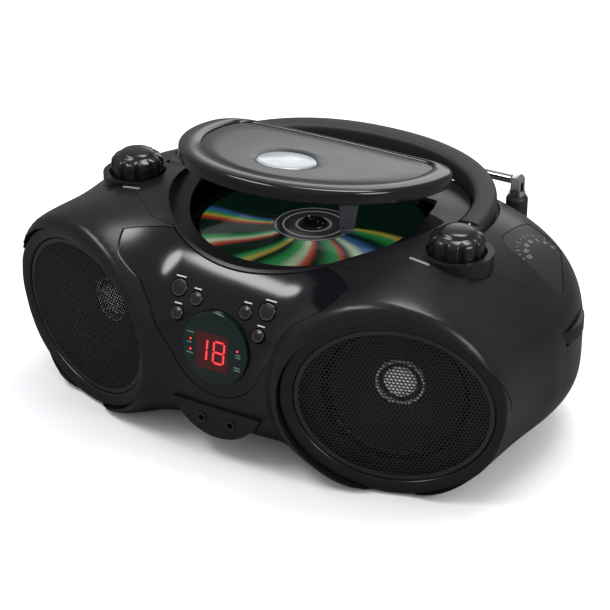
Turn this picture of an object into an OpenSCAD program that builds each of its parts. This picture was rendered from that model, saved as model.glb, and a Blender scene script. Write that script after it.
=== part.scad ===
// Portable CD and radio boombox, drawn with its CD lid ajar.
// The origin is on the floor under the middle of the footprint. +Z is up and -Y is the front.

/* [Body] */
// Half the width of the main body
body_half_w = 147; // [144:1:150]
// Half the depth of the main body
body_half_d = 96; // [94:1:98]
// Height of the widest section above the floor
body_mid_z = 47; // [46:1:49]
// Rise of the top above the widest section
body_rise = 68.5; // [67:0.5:70]
// Drop of the underside below the widest section, before the floor trims it
body_drop = 46; // [44:1:48]
// Wall thickness of the cabinets
wall = 2.6; // [2.2:0.1:3]
// How far the CD spindle stands behind the middle of the footprint
spindle_y = 3.5; // [0:0.5:4]

/* [Speakers] */
// Distance of each speaker from the centre plane
speaker_x = 92.7; // [92:0.1:94]
// Height of the speaker centres
speaker_z = 51.3; // [50:0.1:52]
// Outward turn of each speaker in degrees
speaker_turn = 18; // [17:0.5:19]
// Half width of the grille
grille_half_w = 50; // [48:0.5:51]
// Half height of the grille
grille_half_h = 42.6; // [41:0.2:43]
// Width of the trim ring around the grille
trim_w = 7; // [6:0.5:7]
// Radius of the cone's moving edge
cone_r = 34; // [30:1:34]

/* [CD deck] */
// Disc radius
disc_r = 60; // [60:60]
// Height of the disc's underside
disc_z = 94.4; // [94:0.1:95]
// Radius of the disc well
well_r = 62.5; // [62:0.5:63]
// Outer radius of the glossy collar around the well
collar_r = 77; // [76:0.5:77]

/* [Lid] */
// Upward slope of the open lid towards the front, in degrees
lid_slope = 8; // [8:8]
// Depth of the lid's skirt
lid_depth = 7; // [6:0.5:7]

/* [Handle] */
// Half width of the handle outside its arms
handle_half_w = 93; // [93:93]
// Reach of the handle behind its pivots
handle_reach = 78; // [76:1:78]
// Width of the handle's bar
handle_bar = 12; // [12:1:13]
// Thickness of the handle's bar
handle_t = 13; // [11:1:13]
// How square the handle's arch is, where 2 is an ellipse
arch_power = 2.2; // [2:0.1:2.4]

/* [Antenna] */
// Length of the outer tube
antenna_len = 120; // [100:5:125]
// Radius of the outer tube
antenna_r = 2.4; // [2.2:0.1:2.5]

/* [Hidden] */
$fn = 64;

// Body form: exponents of the superellipsoid, the floor trim and the blend with the speaker pods.
body_yc = 1;
plan_pow = 2.3;
side_pow = 3.2;
body_round = 80;
floor_trim = 2;
pod_blend = 12;
pod_half = [62, 60];
pod_shift = [-2.5, 2.5];
pod_lean = 0.1;
pod_mid_n = -42;
pod_len = 75;
pod_pow = 3;
pod_round = 58;
pod_face_n = 6;
speaker_y = -79.3;
speaker_tip = -3;

// Mesh of the body: rows along X, with fans at the two ends, and columns around X.
axis_half = 82;
fan_rows = 9;
mid_rows = 36;
ring_cols = 56;
body_core = [0, 0, 50];
ray_max = 150;
bisections = 13;

// Places, measured from the spindle axis and the floor.
seat_front = [-75, 99.4];
lid_axis = [53, 108];
lid_top_z0 = 137;
lid_centre_y = 5.6;
lid_r = 73;
lid_cut_y = 31;
lid_window_c = [-1, -25];
lid_window_r = 15.5;
latch_at = [46.8, -44.2];
latch_turn = 43;
deck_y = 24;
lid_arm_x = 40;
lid_arm_w = 5;
handle_axis = [8, 106];
handle_tilt = 5;
knob_xy = [95.8, -23];
knob_base_z = 112.5;
knob_r = 14;
knob_ring_r = 18.5;
seam_y = -62;
seam_x = 60;
seam_side = [150, 5];
rear_seam_y = 46;
button_lean = 32;
display_z = 65;
display_y = -94.6;
display_lean = 5;
display_r = 19.3;
jack_x = 8.7;
jack_z = 23.4;
jack_face_y = -95.6;
jack_hole_r = 1.75;
antenna_xy = [75, 89.2];
antenna_z = 104.2;
door_x = 76;
door_z = [16, 66];
wheel_c = [119, 13];
wheel_r = 29;
wheel_z = [63, 70];
rod_y = 17;
rod_z = 78;
rod_r = 1.5;
gear_c = [44, -31.9];
gear_r = 10.6;

// ---- Maths -------------------------------------------------------------------------------

function smooth_min(a, b, k) =
    let (h = min(1, max(0, 0.5 + 0.5 * (b - a) / k)))
    b + (a - b) * h - k * h * (1 - h);
function smooth_max(a, b, k) = -smooth_min(-a, -b, k);

function main_field(p) =
    let (
        u = abs(p.x) / body_half_w,
        v = abs(p.y - body_yc) / body_half_d,
        dz = p.z - body_mid_z,
        w = dz > 0 ? dz / body_rise : -dz / body_drop,
        plan = pow(pow(u, plan_pow) + pow(v, plan_pow), side_pow / plan_pow)
    )
    (pow(plan + pow(w, side_pow), 1 / side_pow) - 1) * body_round;

// Speaker coordinates of a point on the right: across, up and out of the baffle.
function speaker_coords(p) =
    let (
        d = [abs(p.x) - speaker_x, p.y - speaker_y, p.z - speaker_z],
        cu = cos(speaker_turn), su = sin(speaker_turn),
        ct = cos(speaker_tip), st = sin(speaker_tip),
        along = d.x * su - d.y * cu
    )
    [d.x * cu + d.y * su, d.z * ct - along * st, along * ct + d.z * st];

function pod_field(p) =
    let (
        s = speaker_coords(p),
        a = (s.x - pod_shift.x) / pod_half.x,
        b = (s.y - pod_shift.y - pod_lean * s.z) / pod_half.y,
        g = pow(norm([a, b]), pod_pow) + pow(abs(s.z - pod_mid_n) / pod_len, pod_pow)
    )
    smooth_max((pow(g, 1 / pod_pow) - 1) * pod_round, s.z - pod_face_n, 5);

function body_field(p) =
    smooth_max(smooth_min(main_field(p), pod_field(p), pod_blend), floor_trim - p.z, 4);

// Distance from start along dir at which the field reaches level.
function ray_hit(start, dir, level, lo, hi, n) =
    n == 0 ? (lo + hi) / 2 :
    let (mid = (lo + hi) / 2)
    body_field(start + mid * dir) > level
        ? ray_hit(start, dir, level, lo, mid, n - 1)
        : ray_hit(start, dir, level, mid, hi, n - 1);

function arc(c, r, from, to, n = 12) =
    [for (i = [0:n]) c + r * [cos(from + (to - from) * i / n), sin(from + (to - from) * i / n)]];
function ellipse(a, b, n = 64) = [for (i = [0:n - 1]) [a * cos(360 * i / n), b * sin(360 * i / n)]];
function grown(points, c, d) = [for (q = points) q + d * (q - c) / norm(q - c)];

// ---- Shared shapes -----------------------------------------------------------------------

module from_spindle() {
    translate([0, spindle_y, 0]) children();
}

module at_speaker(side) {
    translate([side * speaker_x, speaker_y, speaker_z])
        rotate([90 - speaker_tip, 0, side * speaker_turn])
            children();
}

module both_sides() {
    for (side = [-1, 1]) translate([0, 0, 0]) scale([side, 1, 1]) children();
}

// The closed body surface, moved inwards by inset.
module body_solid(inset = 0, rows = mid_rows, fans = fan_rows, cols = ring_cols) {
    last = rows + 2 * fans;
    starts = [for (i = [1:last - 1])
        let (
            t = min(1, max(0, (i - fans) / rows)),
            lat = i < fans ? -90 * (fans - i) / fans : i > fans + rows ? 90 * (i - fans - rows) / fans : 0
        )
        [(2 * t - 1) * axis_half, lat]];
    ring = [for (s = starts) for (j = [0:cols - 1])
        let (
            turn = 360 * j / cols,
            dir = [sin(s[1]), cos(s[1]) * cos(turn), cos(s[1]) * sin(turn)],
            start = body_core + [s[0], 0, 0]
        )
        start + ray_hit(start, dir, -inset, 0, ray_max, bisections) * dir];
    ends = [for (side = [-1, 1])
        let (start = body_core + [side * axis_half, 0, 0], dir = [side, 0, 0])
        start + ray_hit(start, dir, -inset, 0, ray_max, bisections) * dir];
    n_ring = len(starts);
    first = n_ring * cols;
    sides = [for (i = [0:n_ring - 2]) for (j = [0:cols - 1]) for (half = [0, 1])
        let (k = (j + 1) % cols, a = i * cols, b = (i + 1) * cols)
        half == 0 ? [a + j, b + j, b + k] : [a + j, b + k, a + k]];
    left = [for (j = [0:cols - 1]) [first, j, (j + 1) % cols]];
    right = [for (j = [0:cols - 1])
        [first + 1, (n_ring - 1) * cols + (j + 1) % cols, (n_ring - 1) * cols + j]];
    polyhedron(points = concat(ring, ends), faces = concat(sides, left, right), convexity = 6);
}

module body_shell(rows = mid_rows, fans = fan_rows, cols = ring_cols) {
    difference() {
        body_solid(0, rows, fans, cols);
        body_solid(wall, 18, 7, 34);
    }
}

// Everything in front of the seam that runs from the collar over the shoulders to the sides.
module front_zone(gap = 0) {
    far = 240;
    translate([0, 0, -5]) linear_extrude(160)
        polygon([[-far, -far], [far, -far], [far, seam_side.y - gap], [seam_side.x, seam_side.y - gap],
            [seam_x, seam_y - gap], [-seam_x, seam_y - gap], [-seam_side.x, seam_side.y - gap],
            [-far, seam_side.y - gap]]);
}

module rear_zone(gap = 0) {
    translate([-200, rear_seam_y + gap, -5]) cube([400, 200, 160]);
}

// Space above the plane that the closed lid rests on.
module above_seat(drop = 0) {
    translate([0, seat_front.x, seat_front.y - drop]) rotate([10, 0, 0])
        translate([-100, -20, 0]) cube([200, 130, 60]);
}

// The round dish in front of the deck, which holds the glossy collar.
module dish(grow = 0, drop = 0) {
    intersection() {
        translate([0, 0, 60]) cylinder(h = 90, r = collar_r + grow, $fn = 80);
        above_seat(drop);
        translate([-100, -100, 60]) cube([200, 100 + deck_y + grow, 90]);
    }
}

// An ellipse drawn out a little towards its corners, so the raised arch clears the open lid.
function full_arch(a, b) = [
    for (p = ellipse(1, 1))
        [a * sign(p.x) * pow(abs(p.x), 2 / arch_power), b * sign(p.y) * pow(abs(p.y), 2 / arch_power)]];

module handle_band(inner, outer, low, high) {
    translate([0, handle_axis.x, handle_axis.y]) rotate([handle_tilt, 0, 0])
        intersection() {
            translate([0, 0, low]) linear_extrude(high - low) difference() {
                polygon(full_arch(outer.x, outer.y));
                polygon(full_arch(inner.x, inner.y));
            }
            translate([-120, 0, -40]) cube([240, 120, 90]);
        }
}

// Channel that the folded handle lies in, with round pockets at its pivots.
module handle_channel(grow = 0) {
    handle_band([handle_half_w - handle_bar - 1.5 - grow, handle_reach - handle_bar - 1.5 - grow],
        [handle_half_w + 1.5 + grow, handle_reach + 1.5 + grow], -5.5 - grow, 40);
    both_sides() translate([handle_half_w - handle_bar - 1.2 - grow, handle_axis.x, handle_axis.y])
        rotate([0, 90, 0]) cylinder(h = handle_bar + 2.4 + 2 * grow, r = 9 + grow);
    both_sides()
        translate([handle_half_w - handle_bar - 1.2 - grow, handle_axis.x - 11 - grow, handle_axis.y - 1.5 - grow])
        cube([handle_bar + 2.4 + 2 * grow, 16 + grow, 30]);
}

// Blocks under the slots of the lid's arms, and the slots themselves.
module hinge_blocks() {
    both_sides() translate([lid_arm_x - 9.6, 0, 0]) rotate([90, 0, 90]) linear_extrude(19.2)
        polygon([[24.2, 118], [24.2, 109], [45, 100.5], [50, 99], [60, 99], [63, 103], [63, 118]]);
}

module hinge_slots() {
    both_sides() translate([lid_arm_x - 3.3, 0, 0]) rotate([90, 0, 90]) linear_extrude(6.6)
        polygon([[19, 130], [19, 115], [47.5, 104.6], [49, 103.4], [57.6, 103.4], [57.6, 130]]);
    both_sides() translate([lid_arm_x - 10, lid_axis.x, lid_axis.y]) rotate([0, 90, 0])
        cylinder(h = 20, r = 1.6);
}

// Outline of the shiny control panel, seen from the front.
function shield_outline(d = 0) = concat(
    arc([0, display_z], 27 + d, 200, 340, 16),
    [[34 + d, 70], [38 + d, 80], [45 + d, 90], [60 + d, 101], [66 + d, 108]],
    [[-66 - d, 108], [-60 - d, 101], [-45 - d, 90], [-38 - d, 80], [-34 - d, 70]]);

module shield_prism(d = 0) {
    translate([0, -60, 0]) rotate([90, 0, 0]) linear_extrude(60) polygon(shield_outline(d));
}

module at_button(x, y, z) {
    translate([x, y, z]) rotate([90 - button_lean, 0, 0]) children();
}

// Button places: x, y, z, radius.
STOP = [-26, -86.5, 88.5, 4.5];
PLAY = [26, -86.5, 88.5, 4.5];
PROGRAM = [-14.5, -88.5, 86, 3.6];
BACK = [14.5, -88.5, 86, 3.6];
REPEAT = [-24, -92, 77.2, 3.4];
FORWARD = [24, -92, 77.2, 3.4];
BUTTONS = [STOP, PLAY, PROGRAM, BACK, REPEAT, FORWARD];

module button_holes() {
    for (b = BUTTONS) at_button(b[0], b[1], b[2]) translate([0, 0, -12]) cylinder(h = 24, r = b[3] + 0.5);
}

module at_display() {
    translate([0, display_y, display_z]) rotate([90 - display_lean, 0, 0]) children();
}

module crescent(d = 0) {
    intersection() {
        translate([0, 42.6]) circle(r = 28.6 + d, $fn = 96);
        translate([-40, 0]) square([80, 31 + d]);
    }
}

module dial_prism(d = 0) {
    translate([0, 0, 80]) linear_extrude(60)
        polygon(grown(concat(arc([113, 41], 11, 60, 175, 8), arc([116, 20], 14, 190, 250, 6),
            arc([131, 12], 7, -80, 20, 6)), [119, 27], d));
}

module at_antenna() {
    translate([antenna_xy.x, antenna_xy.y, 0]) children();
}

// ---- Cabinets ----------------------------------------------------------------------------

module front_cabinet() {
    $fn = 36;
    from_spindle() color([0.09, 0.09, 0.1]) resize([0, 0, 0]) difference() {
        union() {
            intersection() {
                body_shell();
                front_zone();
            }
            // Baffles that carry the speakers.
            intersection() {
                body_solid(1.3, 18, 7, 34);
                front_zone();
                union() for (side = [-1, 1]) at_speaker(side) translate([0, 0, -8])
                    linear_extrude(3) polygon(ellipse(61, 53));
            }
        }
        translate([0, 0, 80]) cylinder(h = 60, r = collar_r + 0.3, $fn = 96);
        shield_prism(0.4);
        for (side = [-1, 1]) at_speaker(side) {
            translate([0, 0, -5]) linear_extrude(30)
                polygon(ellipse(grille_half_w + trim_w + 0.3, grille_half_h + trim_w + 0.3));
            translate([0, 3.3, -12]) cylinder(h = 12, r = cone_r + 3);
        }
        translate([0, -60, 0]) rotate([90, 0, 0]) linear_extrude(60) crescent(0.2);
        translate([0, 0, wheel_z[0] - 1]) translate([wheel_c.x, wheel_c.y, 0])
            cylinder(h = wheel_z[1] - wheel_z[0] + 2, r = wheel_r + 1);
        knob_rings(0.3);
    }
}

// Round seats of the two knobs, cut out of the cabinets and filled by the top cabinet.
module knob_rings(grow = 0) {
    both_sides() translate([knob_xy.x, knob_xy.y, 100]) cylinder(h = 40, r = knob_ring_r + grow);
}

module top_cabinet() {
    $fn = 36;
    from_spindle() color([0.08, 0.08, 0.09]) resize([0, 0, 0]) difference() {
        union() {
            difference() {
                body_shell();
                difference() {
                    front_zone(-0.3);
                    translate([0, 0, 80]) cylinder(h = 60, r = collar_r, $fn = 96);
                }
                rear_zone(-0.3);
            }
            // Linings of the dish and of the handle's channel.
            intersection() {
                body_solid(1.3, 18, 7, 34);
                translate([-150, -78, 88]) cube([300, 78 + rear_seam_y - 0.5, 60]);
                union() {
                    dish(2.4, 2.4);
                    handle_channel(2);
                    hinge_blocks();
                }
                difference() {
                    translate([-200, -200, 0]) cube([400, 400, 200]);
                    difference() {
                        front_zone(-0.3);
                        translate([0, 0, 80]) cylinder(h = 60, r = collar_r, $fn = 96);
                    }
                }
            }
            both_sides() translate([knob_xy.x, knob_xy.y, knob_base_z - 9]) cylinder(h = 9.8, r = knob_ring_r);
        }
        intersection() {
            dish();
            translate([0, 0, 60]) cylinder(h = 90, r = collar_r - 1.6, $fn = 80);
        }
        intersection() {
            translate([0, 0, 60]) cylinder(h = 90, r = well_r + 2.2, $fn = 80);
            translate([-100, -100, 60]) cube([200, 100 + deck_y, 90]);
        }
        handle_channel();
        hinge_slots();
        rotate([0, 0, latch_turn - 90]) translate([64.9, -7.5, 80]) cube([9.4, 15, 40]);
        both_sides() {
            translate([knob_xy.x, knob_xy.y, knob_base_z - 2]) cylinder(h = 20, r = knob_r + 1.2);
            translate([knob_xy.x, knob_xy.y, 90]) cylinder(h = 40, r = 4.2);
            translate([handle_half_w - handle_bar - 6, handle_axis.x, handle_axis.y]) rotate([0, 90, 0])
                cylinder(h = handle_bar + 12, r = 3.1);
        }
        translate([wheel_c.x, wheel_c.y, wheel_z[0] - 1]) cylinder(h = wheel_z[1] - wheel_z[0] + 2, r = wheel_r + 1);
        dial_prism(0.3);
    }
}

module door_box(grow = 0) {
    translate([-door_x - grow, 60, door_z[0] - grow])
        cube([2 * (door_x + grow), 60, door_z[1] - door_z[0] + 2 * grow]);
}

module rear_cabinet() {
    $fn = 36;
    from_spindle() color([0.09, 0.09, 0.1]) resize([0, 0, 0]) difference() {
        union() {
            intersection() {
                body_shell();
                rear_zone();
            }
            intersection() {
                body_solid(1.3, 18, 7, 34);
                union() {
                    // Battery box, boss of the antenna's socket and lining of the mains inlet.
                    difference() {
                        translate([-80, rear_seam_y + 0.2, 12.4]) cube([160, 60, 58]);
                        translate([-77.6, rear_seam_y + 2.4, 14.8]) cube([155.2, 60, 53.2]);
                    }
                    at_antenna() translate([-9, -20, 70]) cube([18, 16, 18]);
                    translate([79.5, 54.2, 21.6]) cube([23, 40, 18.8]);
                }
            }
            // Lining of the handle's channel and blocks of the lid's hinge.
            intersection() {
                body_solid(1.3, 18, 7, 34);
                translate([-150, rear_seam_y, 88]) cube([300, 100, 60]);
                union() {
                    handle_channel(2);
                    hinge_blocks();
                }
            }
        }
        door_box(0.5);
        handle_channel();
        at_antenna() translate([0, 0, 70.8]) cylinder(h = 40, r = 6.2);
        hinge_slots();
        translate([81.8, 50, 23.8]) cube([18.4, 60, 14.4]);
    }
}

module battery_door() {
    from_spindle() color([0.09, 0.09, 0.1]) resize([0, 0, 0]) intersection() {
        body_shell(26, 6, 50);
        door_box();
        translate([-100, 60, 0]) cube([200, 60, 100]);
    }
}

module control_panel() {
    from_spindle() color([0.05, 0.05, 0.06]) resize([0, 0, 0]) difference() {
        intersection() {
            difference() {
                body_solid(0.3, 40, 6, 60);
                body_solid(wall + 0.3, 18, 7, 34);
            }
            shield_prism();
            front_zone(0.5);
        }
        translate([0, 0, 80]) cylinder(h = 60, r = collar_r + 0.6, $fn = 96);
        button_holes();
        at_display() translate([0, 0, -12]) cylinder(h = 24, r = display_r + 0.25);
    }
}

module jack_plate() {
    from_spindle() color([0.1, 0.1, 0.11]) difference() {
        translate([0, jack_face_y + 15, 0]) rotate([90, 0, 0]) linear_extrude(15) crescent();
        for (x = [-jack_x, jack_x]) translate([x, jack_face_y - 1, jack_z]) rotate([-90, 0, 0])
            cylinder(h = 20, r = 3.1);
    }
}

module dial_scale() {
    from_spindle() color([0.16, 0.16, 0.17]) resize([0, 0, 0]) intersection() {
        difference() {
            body_solid(0.2, 40, 8, 50);
            body_solid(1.8, 30, 8, 40);
        }
        dial_prism();
        translate([0, seam_y, 60]) cube([200, rear_seam_y - seam_y, 80]);
    }
}

module rubber_feet() {
    from_spindle() color([0.12, 0.12, 0.12]) resize([0, 0, 0]) difference() {
        for (p = [[88, -52], [-88, -52], [62, 42], [-62, 42]]) translate([p.x, p.y, 0]) cylinder(h = 12, r = 7.5);
        body_solid();
    }
}

module at_board_corners() {
    for (x = [-45, 45]) for (y = [-20, 30]) translate([x, y, 0]) children();
}

module board_screws() {
    from_spindle() color("silver") at_board_corners() {
        translate([0, 0, 21.7]) cylinder(h = 1.8, r = 2.8);
        translate([0, 0, 10]) cylinder(h = 12, r = 1.2);
    }
}

// ---- Front controls ----------------------------------------------------------------------

module display_window() {
    from_spindle() color([0.05, 0.1, 0.08]) at_display() {
        translate([0, 0, -2]) cylinder(h = 3, r = display_r);
        translate([0, 0, 1]) cylinder(h = 0.5, r = display_r - 1);
    }
}

module led_module() {
    from_spindle() color([0.3, 0.04, 0.04]) at_display() {
        translate([-10, -8, -7.2]) cube([20, 16, 5]);
        translate([-16, -14, -9]) cube([32, 16, 1.6]);
    }
}

module push_button(b) {
    from_spindle() color([0.12, 0.12, 0.13]) at_button(b[0], b[1], b[2]) {
        translate([0, 0, -4.5]) cylinder(h = 5.3, r = b[3]);
        translate([0, 0, 0.8]) cylinder(h = 0.9, r1 = b[3], r2 = b[3] - 1);
        translate([0, 0, -6.5]) cylinder(h = 2.5, r = 1.5);
    }
}

module stop_button() { push_button(STOP); }
module play_button() { push_button(PLAY); }
module program_button() { push_button(PROGRAM); }
module back_button() { push_button(BACK); }
module repeat_button() { push_button(REPEAT); }
module forward_button() { push_button(FORWARD); }

module button_board() {
    from_spindle() color([0.1, 0.35, 0.15]) at_button(0, -88.5, 86) {
        translate([-33, -14, -12.5]) cube([66, 18, 1.6]);
        for (b = BUTTONS) translate([b[0], (b[2] - 86) / cos(button_lean) * 0.95, -10.9])
            translate([-2.5, -2.5, 0]) cube([5, 5, 1.8]);
    }
}

module jack_body() {
    rotate([-90, 0, 0]) difference() {
        union() {
            translate([0, 0, -0.6]) cylinder(h = 16, r = 2.9);
            translate([0, 0, 15]) cylinder(h = 6, r = 4.5);
        }
        translate([0, 0, -1]) cylinder(h = 15, r = jack_hole_r);
    }
}

module phones_jack() {
    from_spindle() color([0.07, 0.07, 0.07]) translate([-jack_x, jack_face_y, jack_z]) jack_body();
}

module aux_jack() {
    from_spindle() color([0.07, 0.07, 0.07]) translate([jack_x, jack_face_y, jack_z]) jack_body();
}

// ---- Speakers ----------------------------------------------------------------------------

module trim_ring(side) {
    from_spindle() color([0.07, 0.07, 0.08]) at_speaker(side) {
        difference() {
            translate([0, 0, -4.9]) linear_extrude(6.4)
                polygon(ellipse(grille_half_w + trim_w, grille_half_h + trim_w));
            translate([0, 0, -6]) linear_extrude(10) polygon(ellipse(grille_half_w, grille_half_h));
        }
    }
}

module left_trim_ring() { trim_ring(-1); }
module right_trim_ring() { trim_ring(1); }

module grille(side) {
    from_spindle() color([0.2, 0.2, 0.21]) at_speaker(side)
        translate([0, 0, -3]) linear_extrude(2.5)
            polygon(ellipse(grille_half_w - 0.3, grille_half_h - 0.3));
}

module left_grille() { grille(-1); }
module right_grille() { grille(1); }

module speaker_frames() {
    from_spindle() color([0.35, 0.35, 0.36]) for (side = [-1, 1]) at_speaker(side) translate([0, 3.3, 0])
        rotate_extrude() polygon([[cone_r + 3.4, -8.3], [cone_r + 8, -8.3], [cone_r + 8, -10.3],
            [cone_r + 4, -11.5], [26, -29], [14, -29], [14, -27], [24, -27], [cone_r + 3.4, -11]]);
}

module speaker_magnets() {
    from_spindle() color([0.2, 0.2, 0.2]) for (side = [-1, 1]) at_speaker(side) translate([0, 3.3, -43])
        difference() {
            cylinder(h = 14, r = 25);
            translate([0, 0, 6]) cylinder(h = 10, r = 11);
        }
}

// Cone with its surround, voice coil tube and dust cap.
module cone(side) {
    from_spindle() color([0.25, 0.25, 0.26]) at_speaker(side) translate([0, 3.3, 0]) rotate_extrude()
        polygon(concat([[0, -16.6]], [for (i = [1:8]) [11.8 * sin(10 * i) / sin(80), -21 + 4.4 * (cos(9.5 * i) )]],
            [[cone_r - 5, -10.5], [cone_r - 2.5, -9], [cone_r, -9.8], [cone_r, -10.6], [cone_r - 2.5, -10],
            [cone_r - 5, -11.8], [10.2, -23.4], [10.2, -33], [9.6, -33], [9.6, -22.6], [0, -22.6]]));
}

module left_cone() { cone(-1); }
module right_cone() { cone(1); }

// ---- CD deck -----------------------------------------------------------------------------

module cd_well() {
    from_spindle() color([0.05, 0.05, 0.05]) difference() {
        translate([0, 0, 84]) cylinder(h = 12.5, r = well_r + 2, $fn = 96);
        translate([0, 0, 86]) cylinder(h = 20, r = well_r, $fn = 96);
        translate([0, 0, 80]) cylinder(h = 10, r = 18);
        translate([10, -13, 80]) cube([50, 26, 10]);
    }
}

module cd_chassis() {
    from_spindle() color([0.15, 0.15, 0.16]) {
        difference() {
            translate([-30, -40, 70]) cube([104, 76, 2]);
            translate([0, 0, 60]) cylinder(h = 20, r = 3);
        }
        for (x = [13, 72]) for (y = [-rod_y, rod_y]) translate([x - 1, y - 3, 72]) cube([2, 6, 8.6]);
        translate([gear_c.x, gear_c.y, 72]) cylinder(h = 2.2, r = 3);
        translate([gear_c.x, gear_c.y, 72]) cylinder(h = 8, r = 1);
    }
}

module spindle_motor() {
    from_spindle() color("silver") difference() {
        translate([0, 0, 72]) cylinder(h = 11.6, r = 10.5);
        translate([0, 0, 74]) cylinder(h = 12, r = 1.04);
    }
}

module turntable_hub() {
    from_spindle() color([0.08, 0.08, 0.08]) {
        translate([0, 0, 91.4]) cylinder(h = disc_z - 91.4, r = 15);
        translate([0, 0, disc_z]) cylinder(h = 1.8, r = 7.4);
        translate([0, 0, disc_z + 1.8]) cylinder(h = 1.6, r1 = 7.4, r2 = 5.8);
        translate([0, 0, 84.6]) cylinder(h = 6.9, r = 5);
        translate([0, 0, 75]) cylinder(h = 12, r = 1);
    }
}

module disc() {
    from_spindle() color([0.75, 0.78, 0.8]) difference() {
        translate([0, 0, disc_z]) cylinder(h = 1.2, r = disc_r, $fn = 128);
        translate([0, 0, disc_z - 1]) cylinder(h = 4, r = 7.5);
    }
}

module optical_pickup() {
    from_spindle() color([0.12, 0.12, 0.13]) difference() {
        union() {
            translate([20, -21, 74.5]) cube([20, 42, 7]);
            translate([23, -9, 81.5]) cube([14, 18, 7]);
            translate([30, 0, 88.5]) cylinder(h = 2, r = 4);
        }
        for (y = [-rod_y, rod_y]) translate([10, y, rod_z]) rotate([0, 90, 0]) cylinder(h = 40, r = rod_r + 0.05);
    }
}

module guide_rods() {
    from_spindle() color("silver") for (y = [-rod_y, rod_y])
        translate([14, y, rod_z]) rotate([0, 90, 0]) cylinder(h = 57, r = rod_r);
}

module sled_motor() {
    from_spindle() color("silver") {
        translate([20, -33, 72]) cylinder(h = 8, r = 6);
        translate([20, -33, 80]) cylinder(h = 3, r = 1);
    }
}

module sled_gear() {
    teeth = 28;
    from_spindle() color([0.9, 0.9, 0.85]) translate([gear_c.x, gear_c.y, 74.4]) linear_extrude(4)
        difference() {
            polygon([for (i = [0:4 * teeth - 1])
                let (r = i % 4 < 2 ? gear_r : gear_r - 1.4, a = 90 * (i + 0.5) / teeth) r * [cos(a), sin(a)]]);
            circle(r = 1.05);
        }
}

// ---- Lid ---------------------------------------------------------------------------------

// Lid plane: the origin is under the spindle axis on the lid's top face.
module at_lid() {
    translate([0, 0, lid_top_z0]) rotate([-lid_slope, 0, 0]) children();
}

// A circle of radius r cut straight across behind its centre, with rounded corners.
function d_outline(r, corner, cut, d = 0) =
    let (
        yc = cut - corner - lid_centre_y,
        xc = sqrt(pow(r - corner, 2) - yc * yc),
        a = atan2(yc, xc)
    )
    concat(
        arc([xc, cut - corner], corner + d, a, 90, 8),
        arc([-xc, cut - corner], corner + d, 90, 180 - a, 8),
        arc([0, lid_centre_y], r + d, 180 - a + 4, 360 + a - 4, 52));
function lid_outline(d = 0) = d_outline(lid_r, 20, lid_cut_y, d);
function lid_inner(d = 0) = d_outline(lid_r - 12, 9, lid_cut_y - 6, d);

module lid_shell() {
    from_spindle() color([0.05, 0.05, 0.06]) difference() {
        union() {
            at_lid() difference() {
                union() {
                    translate([0, 0, -1]) linear_extrude(1) polygon(lid_outline(-1));
                    translate([0, 0, -lid_depth]) linear_extrude(lid_depth - 1) polygon(lid_outline());
                }
                translate([0, 0, -lid_depth - 1]) linear_extrude(lid_depth - 1.5) polygon(lid_outline(-2.2));
                translate([0, 0, -1.2]) linear_extrude(3) polygon(lid_inner(0.2));
                translate([lid_window_c.x, lid_window_c.y, -10]) cylinder(h = 20, r = lid_window_r - 2);
            }
            // Arms down to the hinge, under the deck.
            for (side = [-1, 1]) {
                translate([side * lid_arm_x - lid_arm_w / 2, 0, 0]) rotate([90, 0, 90]) linear_extrude(lid_arm_w)
                    polygon([[22, 131.4], [30.6, 130.2], [30.6, 126.6],
                        [lid_axis.x + 2.8, lid_axis.y + 2], [lid_axis.x - 2.8, lid_axis.y - 2], [24, 125.6]]);
                translate([side * lid_arm_x - lid_arm_w / 2, lid_axis.x, lid_axis.y]) rotate([0, 90, 0])
                    cylinder(h = lid_arm_w, r = 3.4);
            }
        }
        translate([-60, lid_axis.x, lid_axis.y]) rotate([0, 90, 0]) cylinder(h = 120, r = 1.55);
    }
}

module lid_panel() {
    from_spindle() color([0.16, 0.16, 0.17]) at_lid() difference() {
        translate([0, 0, -1.2]) linear_extrude(0.9) polygon(lid_inner());
        translate([lid_window_c.x, lid_window_c.y, -5]) cylinder(h = 10, r = lid_window_r + 0.2);
    }
}

module lid_window() {
    from_spindle() color([0.7, 0.7, 0.72]) at_lid() translate([lid_window_c.x, lid_window_c.y, -1.2])
        cylinder(h = 1.4, r = lid_window_r);
}

module lid_latch() {
    from_spindle() color([0.35, 0.35, 0.37]) at_lid() translate([latch_at.x, latch_at.y, -2.5]) rotate([0, 0, latch_turn]) {
        rotate([90, 0, 0]) linear_extrude(2)
            polygon([[-5.5, 0], [5.5, 0], [3.4, -20], [-3.4, -20]]);
        translate([-3.4, -3.6, -20]) cube([6.8, 2, 2.5]);
    }
}

module lid_hinge_pins() {
    from_spindle() color("silver") for (side = [-1, 1])
        translate([side * (lid_arm_x) - 8, lid_axis.x, lid_axis.y]) rotate([0, 90, 0]) cylinder(h = 16, r = 1.5);
}

// ---- Handle ------------------------------------------------------------------------------

module handle() {
    from_spindle() color([0.1, 0.1, 0.11]) difference() {
        union() {
            handle_band([handle_half_w - handle_bar, handle_reach - handle_bar], [handle_half_w, handle_reach],
                -4, handle_t - 4);
            both_sides() translate([handle_half_w - handle_bar - 0.4, handle_axis.x, handle_axis.y])
                rotate([0, 90, 0]) cylinder(h = handle_bar + 0.8, r = 7.4);
        }
        translate([-110, handle_axis.x, handle_axis.y]) rotate([0, 90, 0]) cylinder(h = 220, r = 3.05);
    }
}

module handle_pivots() {
    from_spindle() color("silver") both_sides()
        translate([handle_half_w - handle_bar - 4, handle_axis.x, handle_axis.y])
            rotate([0, 90, 0]) cylinder(h = handle_bar + 8, r = 3);
}

// ---- Knobs and tuning --------------------------------------------------------------------

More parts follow.
